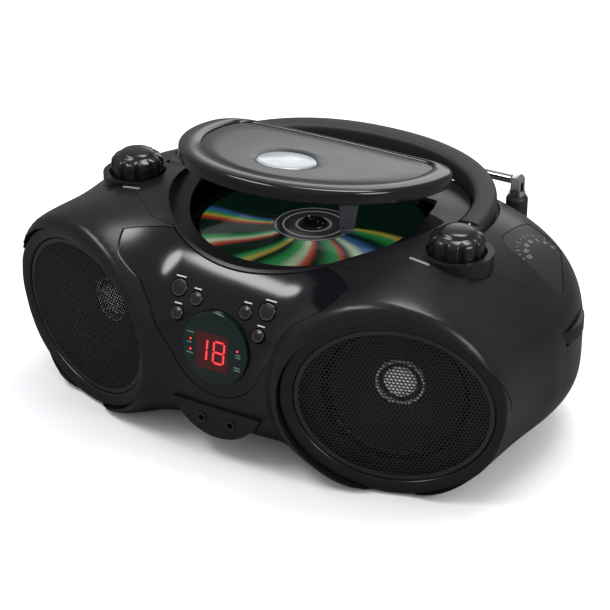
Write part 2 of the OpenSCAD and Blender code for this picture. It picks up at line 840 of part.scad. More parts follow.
module knob(side) {
    from_spindle() color([0.1, 0.1, 0.11]) translate([side * knob_xy.x, knob_xy.y, knob_base_z]) difference() {
        union() {
            translate([0, 0, -1]) cylinder(h = 9.5, r = knob_r);
            translate([0, 0, 8.5]) cylinder(h = 1.6, r1 = knob_r, r2 = knob_r - 2.5);
            translate([0, 0, 10]) cylinder(h = 2.6, r1 = 9, r2 = 7.4);
        }
        for (i = [0:9]) rotate([0, 0, 36 * i + 18]) translate([knob_r + 5.2, 0, -2]) cylinder(h = 16, r = 6);
        translate([0, 0, -2]) cylinder(h = 9, r = 3.02);
    }
}

module function_knob() { knob(-1); }
module volume_knob() { knob(1); }

module rotary_controls() {
    from_spindle() color("silver") both_sides() translate([knob_xy.x, knob_xy.y, 0]) {
        translate([-8, -8, 84]) cube([16, 16, 9]);
        translate([0, 0, 93]) cylinder(h = 6, r = 3.9);
        translate([0, 0, 99]) cylinder(h = knob_base_z + 6 - 99, r = 3);
    }
}

module tuning_wheel() {
    from_spindle() color([0.1, 0.1, 0.1]) translate([wheel_c.x, wheel_c.y, wheel_z[0]]) difference() {
        cylinder(h = wheel_z[1] - wheel_z[0], r = wheel_r, $fn = 96);
        for (i = [0:71]) rotate([0, 0, 5 * i]) translate([wheel_r + 0.25, 0, -1]) cylinder(h = 12, r = 0.7, $fn = 16);
        translate([0, 0, -1]) cylinder(h = 12, r = 3.05);
    }
}

module tuning_capacitor() {
    from_spindle() color([0.8, 0.8, 0.78]) translate([wheel_c.x, wheel_c.y, 0]) {
        translate([-10, -10, 48]) cube([20, 20, 13]);
        translate([0, 0, 61]) cylinder(h = wheel_z[1] + 1 - 61, r = 3);
    }
}

// Needle on a hub above the tuning wheel, under the dial.
module dial_pointer() {
    from_spindle() color([0.8, 0.1, 0.08]) translate([wheel_c.x, wheel_c.y, wheel_z[1] + 0.05]) {
        difference() {
            cylinder(h = 3, r = 5);
            translate([0, 0, -1]) cylinder(h = 5, r = 3.05);
        }
        rotate([0, 0, 80]) translate([4.5, -0.7, 1.4]) cube([18, 1.4, 1.2]);
    }
}

// ---- Antenna -----------------------------------------------------------------------------

module antenna_socket() {
    from_spindle() color([0.1, 0.1, 0.1]) at_antenna() difference() {
        union() {
            translate([0, 0, 71]) cylinder(h = 6, r1 = 3, r2 = 6);
            translate([0, 0, 77]) cylinder(h = 17, r = 6);
            translate([0, 0, 94]) cylinder(h = 2, r1 = 6, r2 = 5);
        }
        translate([0, 0, 80]) cylinder(h = 20, r = 3.05);
    }
}

module antenna_swivel() {
    from_spindle() color("silver") at_antenna() {
        translate([0, 0, 81]) cylinder(h = 15, r = 3);
        translate([0, 0, 96.2]) cylinder(h = 3, r = 4.4);
        translate([0, 0, 96]) cylinder(h = 0.3, r = 3);
        for (y = [-3.6, 1.8]) {
            translate([-2.6, y, 99]) cube([5.2, 1.8, antenna_z - 99]);
            translate([0, y, antenna_z]) rotate([-90, 0, 0]) cylinder(h = 1.8, r = 2.6);
        }
        translate([0, -3.8, antenna_z]) rotate([-90, 0, 0]) cylinder(h = 7.6, r = 1);
    }
}

module antenna_tube() {
    from_spindle() color("silver") at_antenna() translate([0, 0, antenna_z]) {
        difference() {
            union() {
                rotate([90, 0, 0]) translate([0, 0, -1.7]) cylinder(h = 3.4, r = 2.6);
                translate([-4, -1.7, -1.7]) cube([4, 3.4, 3.4]);
            }
            rotate([90, 0, 0]) translate([0, 0, -3]) cylinder(h = 6, r = 1.05);
        }
        rotate([0, -90, 0]) translate([0, 0, 3.6]) difference() {
            cylinder(h = antenna_len, r = antenna_r);
            translate([0, 0, 4]) cylinder(h = antenna_len, r = antenna_r - 0.5);
        }
    }
}

module antenna_section(r_out, r_in, from, to) {
    from_spindle() color("silver") at_antenna() translate([-from - 3.6, 0, antenna_z]) rotate([0, -90, 0])
        difference() {
            cylinder(h = to - from, r = r_out);
            if (r_in > 0) translate([0, 0, 3]) cylinder(h = to - from, r = r_in);
        }
}

module antenna_mid() { antenna_section(antenna_r - 0.56, antenna_r - 1, 6, antenna_len + 3); }
module antenna_inner() { antenna_section(antenna_r - 1.06, antenna_r - 1.5, 12, antenna_len + 6); }
module antenna_tip() {
    antenna_section(antenna_r - 1.56, 0, 18, antenna_len + 9);
    from_spindle() color("silver") at_antenna() translate([-antenna_len - 12.6, 0, antenna_z]) rotate([0, -90, 0])
        cylinder(h = 4, r = 2.2);
}

// ---- Power and electronics ---------------------------------------------------------------

module battery_cells() {
    from_spindle() color([0.2, 0.2, 0.5]) for (x = [-50, 0, 50]) for (z = [28, 54.2])
        translate([x - 24.2, 61.4, z]) rotate([0, 90, 0]) {
            cylinder(h = 47, r = 12.5);
            translate([0, 0, 47]) cylinder(h = 1.4, r = 3);
        }
}

module main_board() {
    from_spindle() color([0.1, 0.35, 0.15]) difference() {
        union() {
            translate([-60, -28, 20]) cube([120, 70, 1.6]);
            for (x = [-30, -15, 10, 25]) translate([x, 0, 21.6]) cylinder(h = 14, r = 5);
            translate([-36, 20, 21.6]) cube([60, 4, 22]);
            at_board_corners() translate([0, 0, floor_trim + wall + 0.5])
                cylinder(h = 20 - floor_trim - wall - 0.5, r = 3.2);
        }
        at_board_corners() translate([0, 0, 9]) cylinder(h = 20, r = 1.25);
    }
}

module transformer() {
    from_spindle() color([0.4, 0.4, 0.42]) {
        translate([76, 16, 16]) cube([28, 26, 34]);
        translate([73, 20, 22]) cube([34, 18, 22]);
    }
}

module ac_inlet() {
    from_spindle() color([0.06, 0.06, 0.06]) difference() {
        translate([82, 54, 24]) cube([18, 17, 14]);
        translate([85.5, 60, 26.8]) cube([11, 12, 8.4]);
    }
}

front_cabinet();
top_cabinet();
rear_cabinet();
battery_door();
control_panel();
jack_plate();
dial_scale();
rubber_feet();
board_screws();
display_window();
led_module();
stop_button();
play_button();
program_button();
back_button();
repeat_button();
forward_button();
button_board();
phones_jack();
aux_jack();
left_trim_ring();
right_trim_ring();
left_grille();
right_grille();
speaker_frames();
speaker_magnets();
left_cone();
right_cone();
cd_well();
cd_chassis();
spindle_motor();
turntable_hub();
disc();
optical_pickup();
guide_rods();
sled_motor();
sled_gear();
lid_shell();
lid_panel();
lid_window();
lid_latch();
lid_hinge_pins();
handle();
handle_pivots();
function_knob();
volume_knob();
rotary_controls();
tuning_wheel();
tuning_capacitor();
dial_pointer();
antenna_socket();
antenna_swivel();
antenna_tube();
antenna_mid();
antenna_inner();
antenna_tip();
battery_cells();
main_board();
transformer();
ac_inlet();
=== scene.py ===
import bmesh
import bpy
import math
import numpy as np
from mathutils import Matrix, Vector


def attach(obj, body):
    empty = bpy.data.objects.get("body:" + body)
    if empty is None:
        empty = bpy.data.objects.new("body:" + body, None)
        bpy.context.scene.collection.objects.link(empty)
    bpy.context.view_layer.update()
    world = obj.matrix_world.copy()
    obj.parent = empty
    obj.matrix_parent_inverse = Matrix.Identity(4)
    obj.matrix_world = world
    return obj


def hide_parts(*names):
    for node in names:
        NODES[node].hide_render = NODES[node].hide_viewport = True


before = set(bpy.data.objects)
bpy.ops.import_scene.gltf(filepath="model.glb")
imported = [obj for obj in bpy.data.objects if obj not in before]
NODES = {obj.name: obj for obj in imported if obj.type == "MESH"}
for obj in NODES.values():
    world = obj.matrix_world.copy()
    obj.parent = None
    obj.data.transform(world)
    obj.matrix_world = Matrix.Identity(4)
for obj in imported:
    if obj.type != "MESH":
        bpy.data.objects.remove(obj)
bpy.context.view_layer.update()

MM = 0.001
SPINDLE_Y = 3.5

# ---------------------------------------------------------------- body form
# All shapes are in millimetres with the spindle as the Z axis; finish_mesh turns them to the frame's metres.
HALF_WIDE, HALF_DEEP, RISE, DROP = 147.0, 96.0, 68.5, 46.0
MID_Y, MID_Z = 1.0, 47.0
PLAN_POW, SIDE_POW, ROUND = 2.3, 3.2, 80.0
SPK = np.array([92.7, -79.3, 51.3])
TURN_DEG, TIP_DEG = 18, -3
TURN, TIP = math.radians(TURN_DEG), math.radians(TIP_DEG)
POD_WIDE, POD_TALL, POD_LONG = 62, 60, 75      # half sizes of the swelling round a speaker
POD_SHIFT, POD_BACK, POD_SLANT = 2.5, 42, 0.1  # where its middle lies from the speaker's face, and its lean
POD_ROUND, POD_FACE, POD_EDGE, POD_BLEND = 58, 6, 5, 12
FLAT_Z, FLAT_BLEND = 2, 4
CORE_X, CORE_Z = 82, 50                        # the rays that find the surface start on this line
REACH, HALVINGS = 150.0, 22
WALL, MID_WALL = 2.6, 1.3
COARSE = (18, 7, 34)                           # rows, fans and columns of a surface that stays out of sight


def smin(a, b, k):
    """Smaller of two values, blended over k."""
    h = np.clip(0.5 + 0.5 * (b - a) / k, 0, 1)
    return b + (a - b) * h - k * h * (1 - h)


def smax(a, b, k):
    return -smin(-a, -b, k)


def cosd(a):
    return math.cos(math.radians(a))


def sind(a):
    return math.sin(math.radians(a))


def field(p):
    """Height over the body's surface, below 0 inside it."""
    x, y, z = np.abs(p[..., 0]), p[..., 1], p[..., 2]
    dz = z - MID_Z
    w = np.where(dz > 0, dz / RISE, -dz / DROP)
    plan = (x / HALF_WIDE) ** PLAN_POW + (np.abs(y - MID_Y) / HALF_DEEP) ** PLAN_POW
    plan = plan ** (SIDE_POW / PLAN_POW)
    main = ((plan + w ** SIDE_POW) ** (1 / SIDE_POW) - 1) * ROUND
    dx, dy, dzz = x - SPK[0], y - SPK[1], z - SPK[2]
    along = dx * math.sin(TURN) - dy * math.cos(TURN)
    u = dx * math.cos(TURN) + dy * math.sin(TURN)
    v = dzz * math.cos(TIP) - along * math.sin(TIP)
    n = along * math.cos(TIP) + dzz * math.sin(TIP)
    r = np.hypot((u + POD_SHIFT) / POD_WIDE, (v - POD_SHIFT - POD_SLANT * n) / POD_TALL)
    g = (r ** 3 + np.abs((n + POD_BACK) / POD_LONG) ** 3) ** (1 / 3)
    pod = smax((g - 1) * POD_ROUND, n - POD_FACE, POD_EDGE)
    return smax(smin(main, pod, POD_BLEND), FLAT_Z - z, FLAT_BLEND)


def gradient(p):
    e = 0.05
    g = np.stack([field(p + e * np.eye(3)[k]) - field(p - e * np.eye(3)[k]) for k in range(3)], -1)
    return g / np.linalg.norm(g, axis=-1, keepdims=True)


def hit(start, direction, level):
    """Points along the rays where the field reaches the level, found by halving."""
    lo = np.zeros(start.shape[:-1])
    hi = np.full(start.shape[:-1], REACH)
    for _ in range(HALVINGS):
        mid = (lo + hi) / 2
        out = field(start + mid[..., None] * direction) > level
        hi = np.where(out, mid, hi)
        lo = np.where(out, lo, mid)
    return start + ((lo + hi) / 2)[..., None] * direction


PANEL_LEAN = 32


def on_surface(x, y, z, lean=PANEL_LEAN):
    """Point of the body surface seen from (x, y, z) along a line leaning back, and its normal."""
    back_off = 20
    d = np.array([0, -cosd(lean), sind(lean)])
    start = np.array([x, y, z]) - back_off * d
    p = hit(start, d, 0.0)
    return p, gradient(p)


# ---------------------------------------------------------------- mesh helpers, all in mm
def body_solid(inset=0.0, rows=150, fans=36, cols=220):
    """Closed mesh of the body, set in from its surface."""
    last = rows + 2 * fans
    i = np.arange(1, last)
    t = np.clip((i - fans) / rows, 0, 1)
    end = np.where(i > fans + rows, 90 * (i - fans - rows) / fans, 0)
    lat = np.where(i < fans, -90 * (fans - i) / fans, end)
    x0 = (2 * t - 1) * CORE_X
    la = np.radians(lat)[:, None]
    tu = np.radians(360 * np.arange(cols) / cols)[None, :]
    d = np.stack([np.sin(la) + 0 * tu, np.cos(la) * np.cos(tu), np.cos(la) * np.sin(tu)], -1)
    s = np.zeros_like(d)
    s[..., 0] = x0[:, None]
    s[..., 2] = CORE_Z
    ring = hit(s, d, -inset).reshape(-1, 3)
    ends = [hit(np.array([k * CORE_X, 0.0, CORE_Z]), np.array([k * 1.0, 0, 0]), -inset) for k in (-1, 1)]
    V = np.vstack([ring, ends])
    n = last - 1
    F = []
    for a in range(n - 1):
        for j in range(cols):
            k = (j + 1) % cols
            F.append((a * cols + j, a * cols + k, (a + 1) * cols + k, (a + 1) * cols + j))
    first = n * cols
    F += [(first, (j + 1) % cols, j) for j in range(cols)]
    F += [(first + 1, (n - 1) * cols + j, (n - 1) * cols + (j + 1) % cols) for j in range(cols)]
    return V, F


def arc(c, r, a, b, n=24):
    t = np.radians(np.linspace(a, b, n + 1))
    return [(c[0] + r * math.cos(q), c[1] + r * math.sin(q)) for q in t]


def ellipse(a, b, n=160):
    return [(a * math.cos(2 * math.pi * i / n), b * math.sin(2 * math.pi * i / n)) for i in range(n)]


def prism(pts, z0, z1):
    """Outline in X and Y raised from z0 to z1."""
    n = len(pts)
    V = np.array([(x, y, z0) for x, y in pts] + [(x, y, z1) for x, y in pts], float)
    F = [tuple(reversed(range(n))), tuple(range(n, 2 * n))]
    F += [(i, (i + 1) % n, n + (i + 1) % n, n + i) for i in range(n)]
    return V, F


def cyl(x, y, r, z0, z1, n=128):
    V, F = prism(ellipse(r, r, n), z0, z1)
    return V + np.array([x, y, 0]), F


def box(lo, hi):
    V, F = prism([(lo[0], lo[1]), (hi[0], lo[1]), (hi[0], hi[1]), (lo[0], hi[1])], lo[2], hi[2])
    return V, F


def tf(m, mesh):
    """Mesh moved by a matrix."""
    V, F = mesh
    m = np.array(m)
    return V @ m[:3, :3].T + m[:3, 3], F


def rot(a=0, b=0, c=0):
    return (Matrix.Rotation(math.radians(c), 4, "Z") @ Matrix.Rotation(math.radians(b), 4, "Y")
            @ Matrix.Rotation(math.radians(a), 4, "X"))


def move(x, y, z):
    return Matrix.Translation((x, y, z))


def temp(mesh, turn_out=False):
    """A mesh object in millimetres, with its faces turned outward if asked."""
    me = bpy.data.meshes.new("t")
    me.from_pydata([tuple(v) for v in mesh[0]], [], mesh[1])
    if turn_out:
        bm = bmesh.new()
        bm.from_mesh(me)
        bmesh.ops.recalc_face_normals(bm, faces=bm.faces)
        bm.to_mesh(me)
        bm.free()
    o = bpy.data.objects.new("t", me)
    bpy.context.scene.collection.objects.link(o)
    return o


def apply_modifier(o):
    dg = bpy.context.evaluated_depsgraph_get()
    me = bpy.data.meshes.new_from_object(o.evaluated_get(dg))
    o.modifiers.clear()
    o.data = me


def boolean(a, b, op):
    if not isinstance(a, bpy.types.Object):
        a = temp(a)
    if not isinstance(b, bpy.types.Object):
        b = temp(b)
    m = a.modifiers.new("b", "BOOLEAN")
    m.operation, m.solver, m.object = op, "MANIFOLD", b
    apply_modifier(a)
    bpy.data.objects.remove(b)
    return a


def cut(a, *tools):
    for t in tools:
        a = boolean(a, t, "DIFFERENCE")
    return a


def meet(a, *tools):
    for t in tools:
        a = boolean(a, t, "INTERSECT")
    return a


def join(a, *tools):
    for t in tools:
        a = boolean(a, t, "UNION")
    return a


def copy(o):
    c = o.copy()
    c.data = o.data.copy()
    bpy.context.scene.collection.objects.link(c)
    return c


ON_SURFACE, FACING = 0.06, 0.75  # how near and how square a face must be to take the body's own normal


def finish_mesh(o, name, material, body="cabinet", inset=None, angle=32, replaces=()):
    """Smooth normals, with the body's own where a face lies on it, then metres, name and material."""
    me = o.data
    me.shade_smooth()
    me.set_sharp_from_angle(angle=math.radians(angle))
    if inset is not None:
        n = len(me.vertices)
        co = np.zeros(n * 3)
        me.vertices.foreach_get("co", co)
        co = co.reshape(-1, 3)
        on = np.abs(field(co) + inset) < ON_SURFACE
        grad = gradient(co)
        nl = len(me.loops)
        cn = np.zeros(nl * 3, np.float32)
        me.corner_normals.foreach_get("vector", cn)
        cn = cn.reshape(-1, 3)
        lv = np.zeros(nl, np.int64)
        me.loops.foreach_get("vertex_index", lv)
        starts = np.zeros(len(me.polygons), np.int64)
        totals = np.zeros(len(me.polygons), np.int64)
        fn = np.zeros(len(me.polygons) * 3)
        me.polygons.foreach_get("loop_start", starts)
        me.polygons.foreach_get("loop_total", totals)
        me.polygons.foreach_get("normal", fn)
        fn = fn.reshape(-1, 3)
        face_of = np.repeat(np.arange(len(starts)), totals)
        all_on = np.logical_and.reduceat(on[lv], starts)
        ok = all_on[face_of] & (np.sum(fn[face_of] * grad[lv], 1) > FACING)
        cn[ok] = grad[lv[ok]]
        me.normals_split_custom_set([tuple(v) for v in cn])
    me.transform(Matrix.Translation((0, SPINDLE_Y * MM, 0)) @ Matrix.Scale(MM, 4))
    o.name = me.name = name
    me.materials.clear()
    me.materials.append(material)
    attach(o, body)
    if replaces:
        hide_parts(*replaces)
    return o


def piece(name, mesh, material, body, angle=35, replaces=(), bevel=0.0):
    """A finished piece from a mesh or an object, riding on a body."""
    o = mesh if isinstance(mesh, bpy.types.Object) else temp(mesh, True)
    if bevel:
        m = o.modifiers.new("bevel", "BEVEL")
        m.width, m.segments, m.limit_method, m.angle_limit = bevel, 3, "ANGLE", math.radians(30)
        apply_modifier(o)
    return finish_mesh(o, name, material, body, None, angle, replaces)


def lathe(profile, n=96):
    """Closed or axis-ended profile of (r, z) turned about Z."""
    V, F, idx = [], [], []
    for r, z in profile:
        if r < 1e-6:
            idx.append([len(V)])
            V.append((0, 0, z))
        else:
            idx.append(list(range(len(V), len(V) + n)))
            turns = [2 * math.pi * i / n for i in range(n)]
            V += [(r * math.cos(t), r * math.sin(t), z) for t in turns]
    for a, b in zip(idx, idx[1:]):
        for i in range(n):
            k = (i + 1) % n
            q = [a[i % len(a)], a[k % len(a)], b[k % len(b)], b[i % len(b)]]
            q = list(dict.fromkeys(q))
            if len(q) > 2:
                F.append(tuple(q))
    return np.array(V, float), F


def loft(rings, caps=False, loop=False):
    """Quads between point rings of one length, with capped ends or looped into a tube."""
    n = len(rings[0])
    V = np.array([p for r in rings for p in r], float)
    F = []
    m = len(rings)
    for a in range(m if loop else m - 1):
        b = (a + 1) % m
        for i in range(n):
            k = (i + 1) % n
            F.append((a * n + i, a * n + k, b * n + k, b * n + i))
    if caps:
        F += [tuple(reversed(range(n))), tuple(range((m - 1) * n, m * n))]
    return V, F


def merge(*meshes):
    """Several meshes as one."""
    V, F, k = [], [], 0
    for v, f in meshes:
        V.append(np.asarray(v, float))
        F += [tuple(i + k for i in q) for q in f]
        k += len(v)
    return np.vstack(V), F


def profile_round(x0, x1, y0, y1, r):
    """Rounded rectangle, counter-clockwise."""
    n = 5
    return (arc((x1 - r, y0 + r), r, -90, 0, n) + arc((x1 - r, y1 - r), r, 0, 90, n)
            + arc((x0 + r, y1 - r), r, 90, 180, n) + arc((x0 + r, y0 + r), r, 180, 270, n))


# ---------------------------------------------------------------- materials
NOISE_SCALE, GRAIN_DEPTH, COAT_ROUGH = 45, 0.0004, 0.05


def material(name, color, rough=0.4, metal=0.0, coat=0.0, grain=0.0, grain_scale=900.0, vary=0.06,
             rough_vary=0.06, emission=None, strength=0.0, spec=0.5):
    """Plastic, metal, print or light, a little uneven in colour and roughness, with a grain if asked."""
    m = bpy.data.materials.new(name)
    m.use_nodes = True
    nt = m.node_tree
    b = nt.nodes["Principled BSDF"]
    tc = nt.nodes.new("ShaderNodeTexCoord")
    no = nt.nodes.new("ShaderNodeTexNoise")
    no.inputs["Scale"].default_value = NOISE_SCALE
    no.inputs["Detail"].default_value = 6
    nt.links.new(tc.outputs["Object"], no.inputs["Vector"])
    cr = nt.nodes.new("ShaderNodeValToRGB")
    low, high = cr.color_ramp.elements
    low.position, high.position = 0.3, 0.7
    low.color = (*[c * (1 - vary) for c in color], 1)
    high.color = (*[min(1, c * (1 + vary)) for c in color], 1)
    nt.links.new(no.outputs["Fac"], cr.inputs["Fac"])
    nt.links.new(cr.outputs["Color"], b.inputs["Base Color"])
    mr = nt.nodes.new("ShaderNodeMapRange")
    mr.inputs["To Min"].default_value = max(0.02, rough - rough_vary)
    mr.inputs["To Max"].default_value = min(1, rough + rough_vary)
    nt.links.new(no.outputs["Fac"], mr.inputs["Value"])
    nt.links.new(mr.outputs["Result"], b.inputs["Roughness"])
    b.inputs["Metallic"].default_value = metal
    b.inputs["Specular IOR Level"].default_value = spec
    b.inputs["Coat Weight"].default_value = coat
    b.inputs["Coat Roughness"].default_value = COAT_ROUGH
    if grain:
        n2 = nt.nodes.new("ShaderNodeTexNoise")
        n2.inputs["Scale"].default_value = grain_scale
        n2.inputs["Detail"].default_value = 3
        nt.links.new(tc.outputs["Object"], n2.inputs["Vector"])
        bu = nt.nodes.new("ShaderNodeBump")
        bu.inputs["Strength"].default_value = grain
        bu.inputs["Distance"].default_value = GRAIN_DEPTH
        nt.links.new(n2.outputs["Fac"], bu.inputs["Height"])
        nt.links.new(bu.outputs["Normal"], b.inputs["Normal"])
    if emission:
        b.inputs["Emission Color"].default_value = (*emission, 1)
        b.inputs["Emission Strength"].default_value = strength
    return m

M_BODY = material("cabinet_black", (0.0060, 0.0060, 0.0072), 0.30, grain=0.035, grain_scale=1400,
                  rough_vary=0.03, spec=0.36)
M_PANEL = material("panel_gloss", (0.0035, 0.0035, 0.0048), 0.17, rough_vary=0.02, spec=0.5)
M_TRIM = material("trim_gloss", (0.0045, 0.0045, 0.0052), 0.24, grain=0.02, spec=0.4)
M_DIAL = material("dial_satin", (0.010, 0.010, 0.011), 0.42, grain=0.05, spec=0.4)
M_HANDLE = material("handle_matt", (0.014, 0.014, 0.015), 0.5, grain=0.25, grain_scale=1800, spec=0.4)
M_LID = material("lid_gloss", (0.0045, 0.0045, 0.0056), 0.14, rough_vary=0.02, spec=0.5)
M_LIDP = material("lid_satin", (0.012, 0.012, 0.014), 0.27, grain=0.03, spec=0.6)
# the window's pale grey, strongly mottled colour is a painted reflection on the clear pane
M_WIN = material("lid_clear", (0.26, 0.29, 0.31), 0.12, coat=0.3, vary=0.5)
M_LATCH = material("latch_grey", (0.022, 0.023, 0.028), 0.25, spec=0.5)
M_KNOB = material("knob_gloss", (0.006, 0.006, 0.007), 0.24, grain=0.02, spec=0.5)
M_BTN = material("button_black", (0.006, 0.006, 0.007), 0.2, spec=0.55)
M_RIM = material("button_rim", (0.035, 0.035, 0.04), 0.3, metal=0.3)
M_MATT = material("deck_black", (0.008, 0.008, 0.009), 0.55, grain=0.2)
M_RUB = material("rubber", (0.02, 0.02, 0.02), 0.8, grain=0.4)
M_MESH = material("grille_mesh", (0.014, 0.014, 0.015), 0.40, metal=0.2)
M_CONE = material("cone_paper", (0.010, 0.010, 0.011), 0.8, grain=0.5)
M_SILVER = material("cap_silver", (0.90, 0.90, 0.91), 0.35, metal=0.15)
M_CHROME = material("chrome", (0.62, 0.62, 0.64), 0.12, metal=1.0)
M_STEEL = material("steel", (0.45, 0.45, 0.47), 0.35, metal=1.0, grain=0.1)
M_LENS = material("display_lens", (0.0025, 0.0085, 0.0075), 0.12, spec=0.5)
M_LEDBG = material("display_dark_red", (0.030, 0.002, 0.003), 0.3, emission=(0.5, 0.01, 0.02), strength=0.03)
M_LED = material("display_red", (0.6, 0.02, 0.02), 0.3, emission=(1.0, 0.035, 0.05), strength=0.95)
M_PRINT = material("print_pale", (0.42, 0.43, 0.43), 0.5)
M_PRINTD = material("print_dim", (0.16, 0.165, 0.165), 0.5)
M_PRINTG = material("print_green", (0.10, 0.15, 0.135), 0.5)
M_BOARD = material("board_green", (0.03, 0.14, 0.06), 0.45, grain=0.3, vary=0.3)
M_CELL = material("battery_sleeve", (0.03, 0.05, 0.22), 0.3, coat=0.4)
M_WHITE = material("gear_white", (0.65, 0.65, 0.60), 0.45)
M_RED = material("pointer_red", (0.5, 0.02, 0.02), 0.4)

DISC_R = 0.06                    # metres
CLEAR_IN, CLEAR_OUT = 0.345, 0.36  # the mirror starts here, as a share of the disc's radius


def fill_ramp(ramp, stops):
    """Colour stops in order, from the ramp's first element to its last."""
    e = ramp.color_ramp.elements
    e[0].position, e[0].color = stops[0][0], (*stops[0][1], 1)
    e[1].position, e[1].color = stops[-1][0], (*stops[-1][1], 1)
    for pos, c in stops[1:-1]:
        e.new(pos).color = (*c, 1)


def disc_material():
    """Mirror with painted reflections as colour fans round the spindle, and a clear ringed middle, all of it with a
    painted glow.
    """
    m = bpy.data.materials.new("disc_mirror")
    m.use_nodes = True
    nt = m.node_tree
    link = nt.links.new
    b = nt.nodes["Principled BSDF"]
    tc = nt.nodes.new("ShaderNodeTexCoord")
    mp = nt.nodes.new("ShaderNodeMapping")
    mp.inputs["Location"].default_value = (0, -SPINDLE_Y * MM, 0)
    link(tc.outputs["Object"], mp.inputs["Vector"])
    sp = nt.nodes.new("ShaderNodeSeparateXYZ")
    link(mp.outputs["Vector"], sp.inputs["Vector"])

    def calc(op, a, c=None):
        n = nt.nodes.new("ShaderNodeMath")
        n.operation = op
        for k, v in enumerate((a, c)):
            if isinstance(v, (int, float)):
                n.inputs[k].default_value = v
            elif v is not None:
                link(v, n.inputs[k])
        return n.outputs[0]

    angle = calc("ARCTAN2", sp.outputs["Y"], sp.outputs["X"])
    xx = calc("MULTIPLY", sp.outputs["X"], sp.outputs["X"])
    yy = calc("MULTIPLY", sp.outputs["Y"], sp.outputs["Y"])
    rel = calc("DIVIDE", calc("SQRT", calc("ADD", xx, yy)), DISC_R)
    turn = calc("ADD", calc("DIVIDE", angle, 2 * math.pi), 0.5)
    wave = calc("MULTIPLY", calc("SINE", calc("MULTIPLY", rel, 9.0)), 0.003)
    slant = calc("MULTIPLY", calc("SUBTRACT", rel, 0.6), 0.03)
    bend = calc("ADD", turn, calc("ADD", slant, wave))
    # the colour fans are painted reflections: the rainbow a disc's mirror throws back, painted into its colour
    fans = nt.nodes.new("ShaderNodeValToRGB")
    fans.color_ramp.interpolation = "EASE"
    dark, green, pale = (0.003, 0.014, 0.008), (0.02, 0.22, 0.06), (0.36, 0.46, 0.30)
    red, gold, blue = (0.34, 0.04, 0.02), (0.36, 0.30, 0.05), (0.03, 0.10, 0.24)
    fill_ramp(fans, [
        (0.0, dark), (0.03, dark), (0.045, blue), (0.055, green), (0.064, gold), (0.072, red), (0.085, dark),
        (0.13, dark), (0.145, green), (0.158, pale), (0.170, red), (0.182, dark),
        (0.215, dark), (0.228, green), (0.242, gold), (0.255, dark),
        (0.285, green), (0.312, pale), (0.330, red), (0.342, dark), (0.384, green), (0.394, red), (0.405, dark),
        (0.425, pale), (0.448, blue), (0.48, dark), (0.515, green), (0.53, gold), (0.545, dark), (1.0, dark)])
    link(bend, fans.inputs["Fac"])
    rings = nt.nodes.new("ShaderNodeValToRGB")
    greys = ((0.14, 0.05), (0.15, 0.40), (0.165, 0.04), (0.255, 0.02), (0.265, 0.45), (0.275, 0.03),
             (0.325, 0.015), (0.335, 0.30), (0.345, 0.02))
    fill_ramp(rings, [(0.0, (0.05, 0.05, 0.05)), *((pos, (c, c, c)) for pos, c in greys), (1.0, (0.02, 0.03, 0.025))])
    link(rel, rings.inputs["Fac"])
    mask = nt.nodes.new("ShaderNodeMapRange")
    mask.inputs["From Min"].default_value = CLEAR_IN
    mask.inputs["From Max"].default_value = CLEAR_OUT
    link(rel, mask.inputs["Value"])
    mix = nt.nodes.new("ShaderNodeMix")
    mix.data_type = "RGBA"
    link(mask.outputs["Result"], mix.inputs["Factor"])
    link(rings.outputs["Color"], mix.inputs["A"])
    link(fans.outputs["Color"], mix.inputs["B"])
    link(mix.outputs["Result"], b.inputs["Base Color"])
    # the disc's colour also feeds its emission: a painted glow, though the disc is no lamp
    link(mix.outputs["Result"], b.inputs["Emission Color"])
    for socket, value in (("Emission Strength", 0.45), ("Metallic", 0.75), ("Roughness", 0.14), ("Coat Weight", 0.5)):
        b.inputs[socket].default_value = value
    return m


M_DISC = disc_material()

# ---------------------------------------------------------------- shared places and cutters
COLLAR_R, WELL_R, DECK_Y, DECK_Z, DECK_TILT = 77.0, 62.5, 24.0, 99.4, 10
HX, HY, HZ, HT = 93.0, 78.0, 106.0, 5.0            # handle: outer half axes, pivot height and tilt
HANDLE_Y, BAR, ARCH, HANDLE_GAP = 8.0, 12.0, 2.2, 1.5
KNOB_X, KNOB_Y, KNOB_Z, KNOB_R, KNOB_SEAT_R = 95.8, -23.0, 112.5, 14.0, 18.5
REAR_Y, ARM_X = 46.0, 40
SEAM = 0.3
WHEEL = (119.0, 13.0)


def front_zone(gap=0.0):
    """Everything ahead of the seam between the front and the top."""
    y0, y1 = 5 - gap, -62 - gap
    return prism([(-240, -240), (240, -240), (240, y0), (150, y0), (60, y1), (-60, y1), (-150, y0), (-240, y0)],
                 -5, 155)


def rear_zone(gap=0.0):
    return box((-200, REAR_Y + gap, -5), (200, REAR_Y + 200, 155))


def collar(grow=0.0):
    return cyl(0, 0, COLLAR_R + grow, 80, 140, 200)


def dish(grow=0.0, drop=0.0):
    """The sloping round hollow inside the collar, flat at the back."""
    o = temp(cyl(0, 0, COLLAR_R + grow, 60, 150, 200))
    o = meet(o, tf(move(0, -75, DECK_Z - drop) @ rot(DECK_TILT), box((-100, -20, 0), (100, 110, 60))))
    return meet(o, box((-100, -100, 60), (100, DECK_Y + grow, 150)))


def on_arch(a, b, deg):
    """Point of the handle's outline, an ellipse drawn out towards its corners."""
    c, s = cosd(deg), sind(deg)
    return a * math.copysign(abs(c) ** (2 / ARCH), c), b * math.copysign(abs(s) ** (2 / ARCH), s)


ARCH_STEPS = 120
ARCH_TURNS = [180 * k / ARCH_STEPS for k in range(ARCH_STEPS + 1)]


